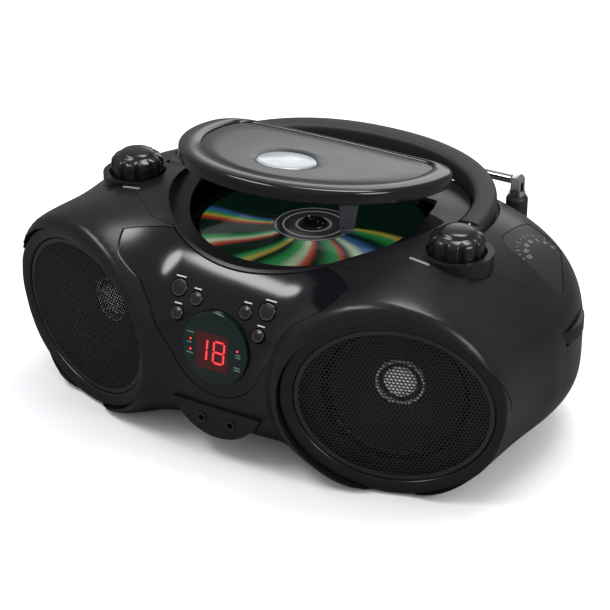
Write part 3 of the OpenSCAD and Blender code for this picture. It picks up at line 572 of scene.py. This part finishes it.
def half_band(inner, outer, lo, hi):
    pts = [on_arch(*outer, k) for k in ARCH_TURNS] + [on_arch(*inner, k) for k in reversed(ARCH_TURNS)]
    return tf(move(0, HANDLE_Y, HZ) @ rot(HT), prism(pts, lo, hi))


def axle(x, y, z, r, half, n):
    """Cylinder along X."""
    return tf(move(x, y, z) @ rot(0, 90, 0), cyl(0, 0, r, -half, half, n))


def channel(grow=0.0):
    """Room for the folded handle and its two pivot lobes."""
    inner = (HX - BAR - HANDLE_GAP - grow, HY - BAR - HANDLE_GAP - grow)
    outer = (HX + HANDLE_GAP + grow, HY + HANDLE_GAP + grow)
    o = temp(half_band(inner, outer, -5.5 - grow, 40))
    for s in (-1, 1):
        mid = s * (HX - BAR / 2)
        half = BAR / 2 + 1.2 + grow
        o = join(o, axle(mid, HANDLE_Y, HZ, 9 + grow, half, 96))
        front = (mid - half, HANDLE_Y - 11 - grow, HZ - 1.5 - grow)
        o = join(o, box(front, (mid + half, HANDLE_Y + 5, HZ + 30)))
    return o


def side_prism(x, thick, pts):
    """Prism along X from x, with its outline in Y and Z."""
    return tf(move(x, 0, 0) @ rot(90, 0, 90), prism(pts, 0, thick))


def hinge_blocks(s):
    pts = [(24.2, 109), (45, 100.5), (50, 99), (60, 99), (63, 103), (63, 118), (24.2, 118)]
    return side_prism(s * ARM_X - 9.6, 19.2, pts)


def hinge_slot(s):
    pts = [(19, 115), (47.5, 104.6), (49, 103.4), (57.6, 103.4), (57.6, 130), (19, 130)]
    return side_prism(s * ARM_X - 3.3, 6.6, pts)


def through_front(pts):
    """Cutter through the front wall, with its outline in X and Z."""
    return tf(move(0, -60, 0) @ rot(90), prism(pts, 0, 60))


def shield(d=0.0):
    """Outline of the control panel, round below and flared towards the collar."""
    pts = arc((0, 65), 27 + d, 200, 340, 40)
    side = [(34 + d, 70), (38 + d, 80), (45 + d, 90), (60 + d, 101), (66 + d, 108)]
    return through_front(pts + side + [(-x, z) for x, z in reversed(side)])


def speaker(s):
    return move(s * SPK[0], SPK[1], SPK[2]) @ rot(90 - TIP_DEG, 0, s * TURN_DEG)


def at_knob(s, r, z0, z1):
    return cyl(s * KNOB_X, KNOB_Y, r, z0, z1)


def dial_cut(d=0.0):
    """Outline of the tuning scale, a triangle with round corners."""
    pts = arc((113, 41), 11, 60, 175, 16) + arc((116, 20), 14, 190, 250, 12) + arc((131, 12), 7, -80, 20, 12)
    out = []
    for x, y in pts:
        v = np.array([x - 119, y - 27])
        v = v / np.linalg.norm(v)
        out.append((x + d * v[0], y + d * v[1]))
    return prism(out, 80, 140)


# x, y, z and radius
BUTTONS = {"stop": (-26, -86.5, 88.5, 4.5), "play": (26, -86.5, 88.5, 4.5), "program": (-14.5, -88.5, 86, 3.6),
           "back": (14.5, -88.5, 86, 3.6), "repeat": (-24, -92, 77.2, 3.4), "forward": (24, -92, 77.2, 3.4)}
BUTTON_LEAN = 58
DISPLAY = move(0, -94.6, 65) @ rot(85)


def at_button(b):
    return move(b[0], b[1], b[2]) @ rot(BUTTON_LEAN)


SHELL = cut(temp(body_solid()), body_solid(WALL, *COARSE))
CONE_UP = 3.3  # the driver sits this far above the middle of its grille

# ---------------------------------------------------------------- front cabinet
o = meet(copy(SHELL), front_zone())
for s in (-1, 1):
    baffle = meet(temp(tf(speaker(s), prism(ellipse(61, 53), -8, -5))), body_solid(MID_WALL, *COARSE))
    o = join(o, meet(baffle, front_zone()))
o = cut(o, collar(SEAM), shield(0.4))
for s in (-1, 1):
    o = cut(o, tf(speaker(s), prism(ellipse(57.3, 49.9), -5, 25)), tf(speaker(s), cyl(0, CONE_UP, 37, -12, 0)),
            at_knob(s, KNOB_SEAT_R + SEAM, 100, 140))
JACK_TOP = 31.2
crescent = [p for p in arc((0, 42.6), 28.8, 180, 360, 90) if p[1] < JACK_TOP]
crescent = [(crescent[0][0], JACK_TOP)] + crescent + [(crescent[-1][0], JACK_TOP)]
o = cut(o, through_front(crescent), cyl(*WHEEL, 30, 62, 71))
finish_mesh(o, "front_shell", M_BODY, inset=0.0, replaces=("front_cabinet",))

# ---------------------------------------------------------------- top cabinet
keep = cut(temp(front_zone(-SEAM)), collar())
o = cut(copy(SHELL), copy(keep), rear_zone(-SEAM))
lining = join(dish(2.4, 2.4), channel(2.0), hinge_blocks(-1), hinge_blocks(1))
lining_rear = copy(lining)
lining = meet(lining, body_solid(MID_WALL, *COARSE), box((-150, -78, 88), (150, REAR_Y - 0.5, 148)))
lining = cut(lining, keep)
o = join(o, lining)
for s in (-1, 1):
    o = join(o, at_knob(s, KNOB_SEAT_R, KNOB_Z - 9, KNOB_Z + 0.8))
o = cut(o, meet(dish(), cyl(0, 0, COLLAR_R - 1.6, 60, 150, 200)))
o = cut(o, meet(temp(cyl(0, 0, WELL_R + 2.2, 60, 150, 200)), box((-100, -100, 60), (100, DECK_Y, 150))))
o = cut(o, channel(), tf(rot(0, 0, -47), box((64.9, -7.5, 80), (74.3, 7.5, 120))))
for s in (-1, 1):
    o = cut(o, at_knob(s, KNOB_R + 1.2, KNOB_Z - 2, KNOB_Z + 18), at_knob(s, 4.2, 90, 130),
            axle(s * 86.5, HANDLE_Y, HZ, 3.1, 9, 48), hinge_slot(s))
o = cut(o, cyl(*WHEEL, 30, 62, 71), dial_cut(SEAM))
finish_mesh(o, "top_shell", M_BODY, inset=0.0, replaces=("top_cabinet",))

# ---------------------------------------------------------------- rear cabinet and battery door
o = meet(copy(SHELL), rear_zone())
bay = cut(temp(box((-80, REAR_Y + 0.2, 12.4), (80, 106, 70.4))),
          box((-77.6, REAR_Y + 2.4, 14.8), (77.6, 108, 68)))
bay = join(bay, box((66, 69.2, 70), (84, 85.2, 88)), box((79.5, 54.2, 21.6), (102.5, 94.2, 40.4)))
o = join(o, meet(bay, body_solid(MID_WALL, *COARSE)))
o = join(o, meet(lining_rear, body_solid(MID_WALL, *COARSE), box((-150, REAR_Y, 88), (150, REAR_Y + 100, 148))))
o = cut(o, box((-76.5, 60, 15.5), (76.5, 120, 66.5)), channel(), cyl(75, 89.2, 6.2, 70.8, 110.8),
        box((81.8, 50, 23.8), (100.2, 110, 38.2)))
for s in (-1, 1):
    o = cut(o, hinge_slot(s), axle(s * ARM_X, 53, 108, 1.6, 10, 32))
finish_mesh(o, "rear_shell", M_BODY, inset=0.0, replaces=("rear_cabinet",))
o = meet(copy(SHELL), box((-76, 60, 16), (76, 120, 66)))
inside = temp(body_solid(MID_WALL, 60, 12, 90))
for k in range(6):
    step, low = 1.5 * k, 3.2 * k
    groove = temp(box((-20 + step, 60, 56 - low), (20 - step, 120, 57.4 - low)))
    o = cut(o, cut(groove, copy(inside)))
bpy.data.objects.remove(inside)
finish_mesh(o, "battery_door_shell", M_BODY, body="battery_door", inset=0.0, replaces=("battery_door",))

# ---------------------------------------------------------------- control panel
PANEL_INSET = 0.3
o = meet(temp(body_solid(PANEL_INSET, 190, 24, 240)), shield(), front_zone(0.5))
o = cut(o, body_solid(WALL + PANEL_INSET, *COARSE), collar(0.6))
for b in BUTTONS.values():
    o = cut(o, tf(at_button(b), cyl(0, 0, b[3] + 0.5, -12, 12, 64)))
o = cut(o, tf(DISPLAY, cyl(0, 0, 19.55, -12, 12, 128)))
finish_mesh(o, "control_panel_shell", M_PANEL, inset=PANEL_INSET, replaces=("control_panel",))

# ---------------------------------------------------------------- dial scale
DIAL_INSET = 0.2
o = meet(temp(body_solid(DIAL_INSET)), dial_cut(), box((0, -62, 60), (200, REAR_Y, 140)))
o = cut(o, body_solid(1.8, 30, 8, 40))
finish_mesh(o, "dial_scale_shell", M_DIAL, inset=DIAL_INSET, replaces=("dial_scale",))
bpy.data.objects.remove(SHELL)


def frame_on(p, n):
    """Placement at p with Z along n and X as near the object's X as it can be."""
    n = np.asarray(n, float)
    x = np.array([1.0, 0, 0]) - n[0] * n
    x = x / np.linalg.norm(x)
    y = np.cross(n, x)
    m = Matrix.Identity(4)
    for k in range(3):
        m[k][0], m[k][1], m[k][2], m[k][3] = x[k], y[k], n[k], p[k]
    return m


def on_top(x, y, level=0.0):
    """Placement on the body above a point, out of the surface by the level."""
    p = hit(np.array([x, y, 50.0]), np.array([0, 0, 1.0]), -level)
    return frame_on(p, gradient(p))


def bar(w, h, low=-0.2, high=0.25):
    """Flat stroke with round ends."""
    return prism(profile_round(-w / 2, w / 2, -h / 2, h / 2, min(w, h) * 0.49), low, high)


# the strokes of a digit: place across and up in half heights, and whether it lies or stands
STROKES = {"a": (0, 1, 1, 0), "g": (0, 0, 1, 0), "d": (0, -1, 1, 0), "f": (-0.5, 0.5, 0, 1),
           "b": (0.5, 0.5, 0, 1), "e": (-0.5, -0.5, 0, 1), "c": (0.5, -0.5, 0, 1)}
DIGITS = {"0": "abcdef", "1": "bc", "2": "abged", "3": "abgcd", "4": "fgbc", "5": "afgcd", "6": "afgedc",
          "7": "abc", "8": "abcdefg", "9": "abcfgd"}


def number(text, tall, thick, low, high):
    """Digits of straight strokes, centred on the origin, tall millimetres high."""
    half, out = tall / 2, []
    for i, ch in enumerate(text):
        cx = (i - (len(text) - 1) / 2) * tall * 0.82
        for stroke in DIGITS[ch]:
            x, y, across, along = STROKES[stroke]
            v, f = bar((half if across else 0) + thick, (half if along else 0) + thick, low, high)
            out.append((v + np.array([cx + x * half, y * half, 0]), f))
    return merge(*out)


marks = [tf(on_top(s * 85.7, -43), bar(11, 1.6)) for s in (-1, 1)]
piece("level_marks", merge(*marks), M_PRINTD, "cabinet")
DIAL_X, DIAL_Y, DIAL_START, TICK_STEP = 121, 25, 100, 13
ticks = []
for k in range(13):
    a = math.radians(DIAL_START + TICK_STEP * k)
    x, y = DIAL_X + 12 * math.cos(a), DIAL_Y + 19 * math.sin(a)
    tick = bar(2.4 if k % 2 == 0 else 1.3, 0.4, -0.2, 0.1)
    ticks.append(tf(on_top(x, y, DIAL_INSET) @ rot(0, 0, math.degrees(a)), tick))
for k, text in enumerate(("54", "60", "70", "80", "100", "120", "160")):
    a = math.radians(DIAL_START + 2 * TICK_STEP * k)
    x, y = DIAL_X + 8 * math.cos(a), DIAL_Y + 14 * math.sin(a)
    ticks.append(tf(on_top(x, y, DIAL_INSET) @ rot(0, 0, 90), number(text, 1.9, 0.32, -0.2, 0.1)))
piece("dial_ticks", merge(*ticks), M_PRINTD, "cabinet")

# ---------------------------------------------------------------- speakers
GA, GB = 50.0, 42.6        # half axes of the grille
PITCH = 2.0                # between the grille's holes
HEX_RISE = 0.866           # of a row of holes over the next, in pitches
HEX_OUT, HEX_IN, MESH_THICK = PITCH / 1.732, PITCH * 0.465, 0.7


def ring_sweep(a, b, prof):
    """Profile of (distance out, height) swept round an ellipse."""
    n = 192
    rings = []
    for i in range(n):
        t = 2 * math.pi * i / n
        rings.append([((a + d) * math.cos(t), (b + d) * math.sin(t), z) for d, z in prof])
    return loft(rings, loop=True)


def dome(x, y):
    """Height of the bulged grille."""
    return -0.9 + 1.3 * (1 - (x / GA) ** 2 - (y / GB) ** 2)


def honeycomb():
    """Grille of six-sided holes, one open tube of webs per hole."""
    V, F = [], []
    rows, cols = int(GB / (PITCH * HEX_RISE)) + 1, 30
    for j in range(-rows, rows + 1):
        for i in range(-cols, cols + 1):
            cx = i * PITCH + (PITCH / 2 if j % 2 else 0)
            cy = j * PITCH * HEX_RISE
            if (cx / (GA - 1.0)) ** 2 + (cy / (GB - 1.0)) ** 2 > 1:
                continue
            first = len(V)
            for r, dz in ((HEX_OUT, 0), (HEX_IN, 0), (HEX_IN, -MESH_THICK), (HEX_OUT, -MESH_THICK)):
                for q in range(6):
                    x, y = cx + r * cosd(60 * q + 30), cy + r * sind(60 * q + 30)
                    V.append((x, y, dome(x, y) + dz))
            for k in range(first, first + 18, 6):
                for q in range(6):
                    w = (q + 1) % 6
                    F.append((k + q, k + w, k + 6 + w, k + 6 + q))
    return np.array(V), F


trim_prof = [(0.0, -4.9), (0.0, -1.6)]
trim_prof += [(0.9 - 0.9 * cosd(a), -1.6 + 2.2 * sind(a)) for a in range(15, 91, 15)]
trim_prof += [(2.2, 0.95), (3.6, 1.35), (5.2, 1.5)]
trim_prof += [(6.0 + 1.0 * sind(a), 0.5 + 1.0 * cosd(a)) for a in range(0, 91, 15)] + [(7.0, -4.9)]
cone_prof = [(11.7, -19.6), (29, -11.0), (31.5, -9.0), (33.6, -9.4), (34, -10.4), (31.5, -10.2), (29, -12.0),
             (10.2, -23.6), (10.2, -33), (9.6, -33), (9.6, -23)]
CAP_R = 8.3
cap = [(0, -19.6), (CAP_R, -19.6)] + [(CAP_R * cosd(a), -18.6 + 3.6 * sind(a)) for a in range(0, 90, 10)]
cap += [(0, -15.0)]
cap_ring = [(12.3, -19.3), (12.2, -16.9), (11.8, -16.4), (11.4, -16.9), (11.3, -19.3), (12.3, -19.3)]
cap_seat = [(8.0, -19.7), (12.0, -19.7), (12.0, -19.2), (8.0, -19.2), (8.0, -19.7)]
for s, side in ((-1, "left"), (1, "right")):
    at = speaker(s)
    at_cone = at @ move(0, CONE_UP, 0)
    trim = meet(temp(tf(at, ring_sweep(GA, GB, trim_prof)), True), body_solid(-0.25))
    piece(side + "_trim", trim, M_TRIM, "cabinet", angle=50, replaces=(side + "_trim_ring",))
    rim = ring_sweep(GA, GB, [(-2.6, -1.6), (-0.3, -1.6), (-0.3, -0.55), (-2.6, -0.55)])
    piece(side + "_mesh", tf(at, merge(honeycomb(), rim)), M_MESH, "cabinet", angle=40,
          replaces=(side + "_grille",))
    piece(side + "_cone_paper", tf(at_cone, lathe(cone_prof)), M_CONE, side + "_cone", replaces=(side + "_cone",))
    piece(side + "_dust_cap", tf(at_cone, merge(lathe(cap), lathe(cap_ring))), M_SILVER, side + "_cone")
    piece(side + "_cap_seat", tf(at_cone, lathe(cap_seat)), M_CONE, side + "_cone")

# ---------------------------------------------------------------- buttons and display
for name, b in BUTTONS.items():
    r = b[3]
    prof = [(0, -6.5), (1.5, -6.5), (1.5, -4.5), (r, -4.5), (r, 0.4)]
    prof += [(r - 0.9 + 0.9 * cosd(a), 0.4 + 0.8 * sind(a)) for a in range(20, 91, 14)]
    prof += [(r * 0.55, 1.5), (0, 1.65)]
    piece(name + "_cap", tf(at_button(b), lathe(prof, 64)), M_BTN, name, replaces=(name + "_button",))
    rim = [(r - 1.15, 1.1), (r - 0.55, 1.35), (r - 0.25, 1.15), (r - 0.5, 0.7)]
    piece(name + "_rim", tf(at_button(b), lathe(rim + rim[:1], 64)), M_RIM, name, angle=60)
LABEL_SINK = 0.3
labels = []
for x, y, z, r in BUTTONS.values():
    p, n = on_surface(x * 1.02, y, z + r + 2.3)
    labels.append(tf(frame_on(p - LABEL_SINK * n, n), bar(4.4 if r < 4 else 6.0, 0.65, -0.3, 0.12)))
for x in (-8.7, 8.7):
    p, n = on_surface(x, -95, 28.3, 0)
    labels.append(tf(frame_on(p - LABEL_SINK * n, n), bar(4.6, 0.6, -0.3, 0.35)))
piece("button_marks", merge(*labels), M_PRINT, "cabinet")

lens = [(0, -2), (19.3, -2), (19.3, 0.9), (18.9, 1.3), (18.2, 1.5), (10, 1.9), (0, 2.0)]
piece("display_lens", tf(DISPLAY, lathe(lens, 128)), M_LENS, "cabinet", replaces=("display_window",))


def slab(cx, cy, w, h, z, t=0.25, lean=0.0, r=0.3):
    """Thin plate with rounded corners, leaning like a display's digit if asked."""
    V, F = prism(profile_round(-w / 2, w / 2, -h / 2, h / 2, min(r, w / 2.1, h / 2.1)), z, z + t)
    V = V.copy()
    V[:, 0] += cx + lean * (V[:, 1] + cy)
    V[:, 1] += cy
    return V, F


PRINT_Z, LED_Z, LEFT_X, RIGHT_X = 1.5, 2.02, -13.7, 14.0
screen = slab(-0.5, -1.6, 18.6, 19.5, 1.75, 0.3, r=0.6)
piece("display_screen", tf(DISPLAY, screen), M_LEDBG, "cabinet")
strokes = []
for cx, digit in ((-6.6, "1"), (3.4, "8")):
    for k in DIGITS[digit]:
        x, y, across, along = STROKES[k]
        w, h = (4.6 if across else 1.0), (5.0 if along else 1.0)
        strokes.append(slab(cx + 6.0 * x, 5.8 * y - 1.2, w, h, LED_Z, 0.15, lean=0.06))
piece("display_digits", tf(DISPLAY, merge(*strokes)), M_LED, "cabinet")
led = [(0, 0), (0.65, 0), (0.6, 0.3), (0.35, 0.45), (0, 0.5)]
led_places = ((LEFT_X, -3.2), (LEFT_X, 2.4), (RIGHT_X, 2.4))
leds = [tf(move(x, y, PRINT_Z), lathe(led, 24)) for x, y in led_places]
piece("display_leds", tf(DISPLAY, merge(*leds)), M_LED, "cabinet")
prints = [slab(LEFT_X, y, 4.6, 0.5, PRINT_Z) for y in (-5.2, 0.4, 6.0)]
prints += [slab(RIGHT_X, y, 3.8, 0.5, PRINT_Z) for y in (0.4, -1.0, -6.6, -8.0)]
piece("display_print", tf(DISPLAY, merge(*prints)), M_PRINTG, "cabinet")

# ---------------------------------------------------------------- knobs
FLUTES, FLUTE_DEPTH, FLUTE_TOP, FLUTE_FADE, FLUTE_MIN_R = 10, 1.7, 10.3, 2.3, 9


def knob_mesh():
    """Round knob whose side is cut by narrow flutes that fade out towards its cap."""
    prof = [(0, -1), (14, -1), (14, 0), (14, 6.5), (13.8, 7.6), (13.1, 8.8), (12.0, 9.6), (10.4, 10.1),
            (9.4, 10.6), (8.9, 11.6), (8.0, 12.3), (6.0, 12.75), (3.0, 12.95), (0, 13.0)]
    n = 240
    rings = []
    for r, z in prof:
        fade = 1 if z < FLUTE_TOP - FLUTE_FADE else max(0, (FLUTE_TOP - z) / FLUTE_FADE)
        depth = FLUTE_DEPTH * fade if r > FLUTE_MIN_R else 0
        ring = []
        for i in range(n):
            t = 2 * math.pi * i / n
            w = max(0.0, 0.5 - 0.5 * math.cos(FLUTES * t)) ** 5
            rr = max(1e-4, r - depth * w)
            ring.append((rr * math.cos(t), rr * math.sin(t), z))
        rings.append(ring)
    return loft(rings)


for s, name in ((-1, "function_knob"), (1, "volume_knob")):
    at = move(s * KNOB_X, KNOB_Y, KNOB_Z)
    piece(name + "_grip", tf(at, knob_mesh()), M_KNOB, name, angle=50, replaces=(name,))
    mark = prism(profile_round(-0.45, 0.45, 10.9, 13.4, 0.4), 9.2, 9.95)
    piece(name + "_mark", tf(at, mark), M_PRINT, name)

# ---------------------------------------------------------------- lid
LID = move(0, 0, 137) @ rot(-8)
LID_R, LID_CY, LID_CUT = 73.0, 5.6, 31.0
WC, WR = np.array([-1.0, -25.0]), 15.5    # middle and radius of the window
UNDER_Z, RIM_Z, EDGE = -1.3, -7.3, 2.2


def d_outline(r, corner, cutline, d=0.0):
    """Circle cut straight across at the back, with round corners, grown by d."""
    yc = cutline - corner - LID_CY
    xc = math.sqrt((r - corner) ** 2 - yc * yc)
    a = math.degrees(math.atan2(yc, xc))
    pts = arc((xc, cutline - corner), corner + d, a, 90, 14)
    pts += [(xc * (1 - 2 * k / 24), cutline + d) for k in range(1, 24)]
    pts += arc((-xc, cutline - corner), corner + d, 90, 180 - a, 14)
    pts += arc((0, LID_CY), r + d, 180 - a + 1.5, 360 + a - 1.5, 120)
    return pts


def lid_out(d):
    return d_outline(LID_R, 20, LID_CUT, d)


def lid_in(d):
    """Outline of the satin panel, with as many points as the lid's own."""
    return d_outline(LID_R - 12, 9, LID_CUT - 6, d)


def ring3(pts, z):
    return [(x, y, z) for x, y in pts]


def crown(x, y):
    """Height of the slightly domed top."""
    return 1.6 * (1 - ((x / 73) ** 2 + ((y - 2) / 73) ** 2)) - 0.6


def toward_window(outline, t, r):
    """The outline drawn in towards a circle of radius r round the window."""
    out = []
    for x, y in outline:
        v = np.array([x, y]) - WC
        e = WC + v / np.linalg.norm(v) * r
        q = (1 - t) * np.array([x, y]) + t * e
        out.append((q[0], q[1]))
    return out


shell = [ring3(lid_out(-EDGE), -2.5), ring3(lid_out(-EDGE), -7), ring3(lid_out(-1.6), RIM_Z),
         ring3(lid_out(-0.5), RIM_Z), ring3(lid_out(0), -6.8), ring3(lid_out(0), -EDGE)]
shell += [ring3(lid_out(-EDGE + EDGE * cosd(a)), -EDGE + EDGE * sind(a)) for a in (20, 40, 60, 78)]
for f, dz in ((0.0, 0.0), (0.25, 0.35), (0.55, 0.5), (0.85, 0.35), (1.0, -0.1)):
    pairs = zip(lid_out(-EDGE), lid_in(0.6))
    shell.append([((1 - f) * p[0] + f * q[0], (1 - f) * p[1] + f * q[1], dz + f * crown(*q)) for p, q in pairs])
shell.append([(x, y, crown(x, y) - 0.9) for x, y in lid_in(0.2)])
shell.append(ring3(lid_in(0.2), UNDER_Z))
shell += [ring3(toward_window(lid_in(0.2), t, WR - 2), UNDER_Z) for t in (0.5, 1.0)]
shell += [ring3(toward_window(lid_in(0.2), 1.0, WR - 2), -2.5)]
piece("lid_shell_gloss", tf(LID, loft(shell, loop=True)), M_LID, "lid", angle=40, replaces=("lid_shell",))
arm = [(22, 131.4), (24, 125.6), (50.4, 106), (51, 105), (53, 104.6), (55, 105.2), (56.3, 107.5), (56, 110),
       (31, 126.2), (30.6, 130.2)]
arms = [side_prism(s * ARM_X - 2.5, 5, arm) for s in (-1, 1)]
piece("lid_arms", merge(*arms), M_MATT, "lid", bevel=0.6)

panel = [ring3(lid_in(0), -1.2)]
for t, dip in ((0, -0.7), (0.06, -0.15), (0.3, 0), (0.6, 0), (0.85, 0), (0.93, -0.1), (1.0, -0.7)):
    panel.append([(x, y, crown(x, y) + dip) for x, y in toward_window(lid_in(0), t, WR + 0.3)])
panel.append(ring3(toward_window(lid_in(0), 1.0, WR + 0.3), -1.2))
piece("lid_panel_satin", tf(LID, loft(panel, loop=True)), M_LIDP, "lid", angle=45, replaces=("lid_panel",))
pane = [(0, -1.2), (WR, -1.2), (WR, -0.2), (WR - 0.5, 0.25), (WR - 1.6, 0.45), (WR * 0.5, 0.75), (0, 0.85)]
# the pane's material paints a mottled reflection into its colour
piece("lid_window_clear", tf(LID @ move(WC[0], WC[1], 0), lathe(pane)), M_WIN, "lid", replaces=("lid_window",))
LATCH = LID @ move(46.8, -44.2, -2.5) @ rot(0, 0, 43)
latch = tf(rot(90), prism([(-5.5, 0), (-3.4, -20), (3.4, -20), (5.5, 0)], 0, 2))
piece("lid_latch_blade", tf(LATCH, latch), M_LATCH, "lid", bevel=0.5, replaces=("lid_latch",))
hook = box((-3.3, -3.6, -19.8), (3.3, -1.9, -17.6))
piece("lid_latch_hook", tf(LATCH, hook), M_LATCH, "lid", bevel=0.4)

# ---------------------------------------------------------------- handle
BAR_Z, BAR_HALF, BAR_CROWN = 2.5, 6.5, 0.05


def handle_mesh():
    """The bar, a rounded square swept along the arch."""
    sec = []
    for a in range(0, 360, 12):
        c, s = cosd(a), sind(a)
        sec.append((math.copysign(abs(c) ** 0.38, c), math.copysign(abs(s) ** 0.42, s)))
    rings = []
    for turn in ARCH_TURNS:
        ring = []
        for u, v in sec:
            f = (u + 1) / 2
            x, y = on_arch(HX - BAR + BAR * f, HY - BAR + BAR * f, turn)
            ring.append((x, y, BAR_Z + BAR_HALF * v * (1 - BAR_CROWN * u * u)))
        rings.append(ring)
    return tf(move(0, HANDLE_Y, HZ) @ rot(HT), loft(rings, caps=True))


handle = temp(handle_mesh(), True)
lobe = lathe([(0, -6.4), (6.2, -6.4), (7.4, -5.3), (7.4, 5.3), (6.2, 6.4), (0, 6.4)], 64)
for s in (-1, 1):
    handle = join(handle, temp(tf(move(s * (HX - BAR / 2), HANDLE_Y, HZ) @ rot(0, 90, 0), lobe), True))
piece("handle_bar", handle, M_HANDLE, "handle", angle=38, replaces=("handle",))

# ---------------------------------------------------------------- disc and hub
disc = [(7.5, 94.4), (60, 94.4), (60, 95.45), (59.8, 95.6), (7.7, 95.6), (7.5, 95.4), (7.5, 94.4)]
piece("disc_mirror", lathe(disc, 256), M_DISC, "disc_turntable", replaces=("disc",))
hub = [(0, 75), (1, 75), (1, 84.6), (5, 84.6), (5, 91.4), (15, 91.4), (15, 94.4), (7.4, 94.4), (7.4, 96.2),
       (6.9, 97.0), (5.9, 97.7), (5.4, 97.75), (5.2, 96.9), (3.6, 96.8), (3.4, 97.5), (2.6, 97.7), (2.3, 96.6),
       (0, 96.6)]
piece("hub_core", lathe(hub), M_KNOB, "disc_turntable", replaces=("turntable_hub",))
for name, prof in (("hub_ring", [(5.45, 97.0), (5.75, 97.72), (6.1, 97.6), (6.2, 97.0), (5.45, 97.0)]),
                   ("hub_ring_inner", [(2.65, 97.0), (2.7, 97.72), (3.2, 97.55), (3.4, 97.0), (2.65, 97.0)])):
    piece(name, lathe(prof), M_CHROME, "disc_turntable")

# ---------------------------------------------------------------- materials of the CAD pieces that stay
STAY = {M_MATT: ("cd_well", "cd_chassis", "optical_pickup", "phones_jack", "aux_jack", "ac_inlet",
                 "antenna_socket"),
        M_TRIM: ("jack_plate",), M_RUB: ("rubber_feet",), M_BOARD: ("button_board", "main_board"),
        M_LEDBG: ("led_module",),
        M_STEEL: ("board_screws", "guide_rods", "spindle_motor", "sled_motor", "lid_hinge_pins", "handle_pivots",
                  "rotary_controls", "tuning_capacitor", "transformer", "speaker_frames", "speaker_magnets"),
        M_CHROME: ("antenna_swivel", "antenna_tube", "antenna_mid", "antenna_inner", "antenna_tip"),
        M_KNOB: ("tuning_wheel",), M_RED: ("dial_pointer",), M_WHITE: ("sled_gear",),
        M_CELL: ("battery_cells",)}
for mat, names in STAY.items():
    for name in names:
        me = NODES[name].data
        me.materials.clear()
        me.materials.append(mat)

# ---------------------------------------------------------------- floor, light and camera
FLOOR_HALF = 6
me = bpy.data.meshes.new("floor")
corners = [(x * FLOOR_HALF, y * FLOOR_HALF, 0) for x, y in ((-1, -1), (1, -1), (1, 1), (-1, 1))]
me.from_pydata(corners, [], [(0, 1, 2, 3)])
floor = bpy.data.objects.new("floor", me)
bpy.context.scene.collection.objects.link(floor)
floor_mat = material("floor_white", (0.86, 0.86, 0.87), 0.7, vary=0.005)
me.materials.append(floor_mat)

# the floor and the sky are darker in reflections, so that black plastic keeps its depth
FLOOR_REFLECTED, SKY_REFLECTED = (0.12, 0.12, 0.12, 1), 0.30
nt = floor_mat.node_tree
bsdf = nt.nodes["Principled BSDF"]
tone = nt.nodes.new("ShaderNodeMix")
tone.data_type = "RGBA"
tone.inputs["B"].default_value = FLOOR_REFLECTED
nt.links.new(bsdf.inputs["Base Color"].links[0].from_socket, tone.inputs["A"])
nt.links.new(nt.nodes.new("ShaderNodeLightPath").outputs["Is Glossy Ray"], tone.inputs["Factor"])
nt.links.new(tone.outputs["Result"], bsdf.inputs["Base Color"])

world = bpy.data.worlds.new("studio")
bpy.context.scene.world = world
world.use_nodes = True
nt = world.node_tree
sky = nt.nodes["Background"]
sky.inputs["Color"].default_value = (0.97, 0.98, 1.0, 1)
level = nt.nodes.new("ShaderNodeMapRange")
level.inputs["To Min"].default_value = 1.0
level.inputs["To Max"].default_value = SKY_REFLECTED
nt.links.new(nt.nodes.new("ShaderNodeLightPath").outputs["Is Glossy Ray"], level.inputs["Value"])
nt.links.new(level.outputs["Result"], sky.inputs["Strength"])


def area(name, loc, target, size, size_y, power):
    """Oval soft light, not seen by the camera itself."""
    lamp = bpy.data.lights.new(name, "AREA")
    lamp.shape, lamp.size, lamp.size_y, lamp.energy = "ELLIPSE", size, size_y, power
    ob = bpy.data.objects.new(name, lamp)
    ob.visible_camera = False
    ob.location = loc
    ob.rotation_euler = (Vector(target) - Vector(loc)).to_track_quat("-Z", "Y").to_euler()
    bpy.context.scene.collection.objects.link(ob)


area("key", (-0.5, -0.5, 1.1), (0, 0, 0.05), 0.85, 0.28, 7)
area("top", (0.1, 0.35, 1.2), (0, 0, 0.08), 0.9, 0.4, 9)
area("side", (1.1, -0.2, 0.6), (0, 0, 0.06), 0.5, 0.5, 5)
area("back", (-0.55, 1.75, 0.62), (0, 0, 0.12), 1.3, 0.6, 2.6)

lens = bpy.data.cameras.new("camera")
lens.lens, lens.sensor_width, lens.clip_start = 120.1, 36, 0.01
camera = bpy.data.objects.new("camera", lens)
bpy.context.scene.collection.objects.link(camera)
camera.location = (0.4998, -0.8330 + SPINDLE_Y * MM, 0.543)
camera.rotation_euler = (math.radians(62.99), 0, math.radians(31.23))
bpy.context.scene.camera = camera
bpy.context.scene.view_settings.view_transform = "Standard"
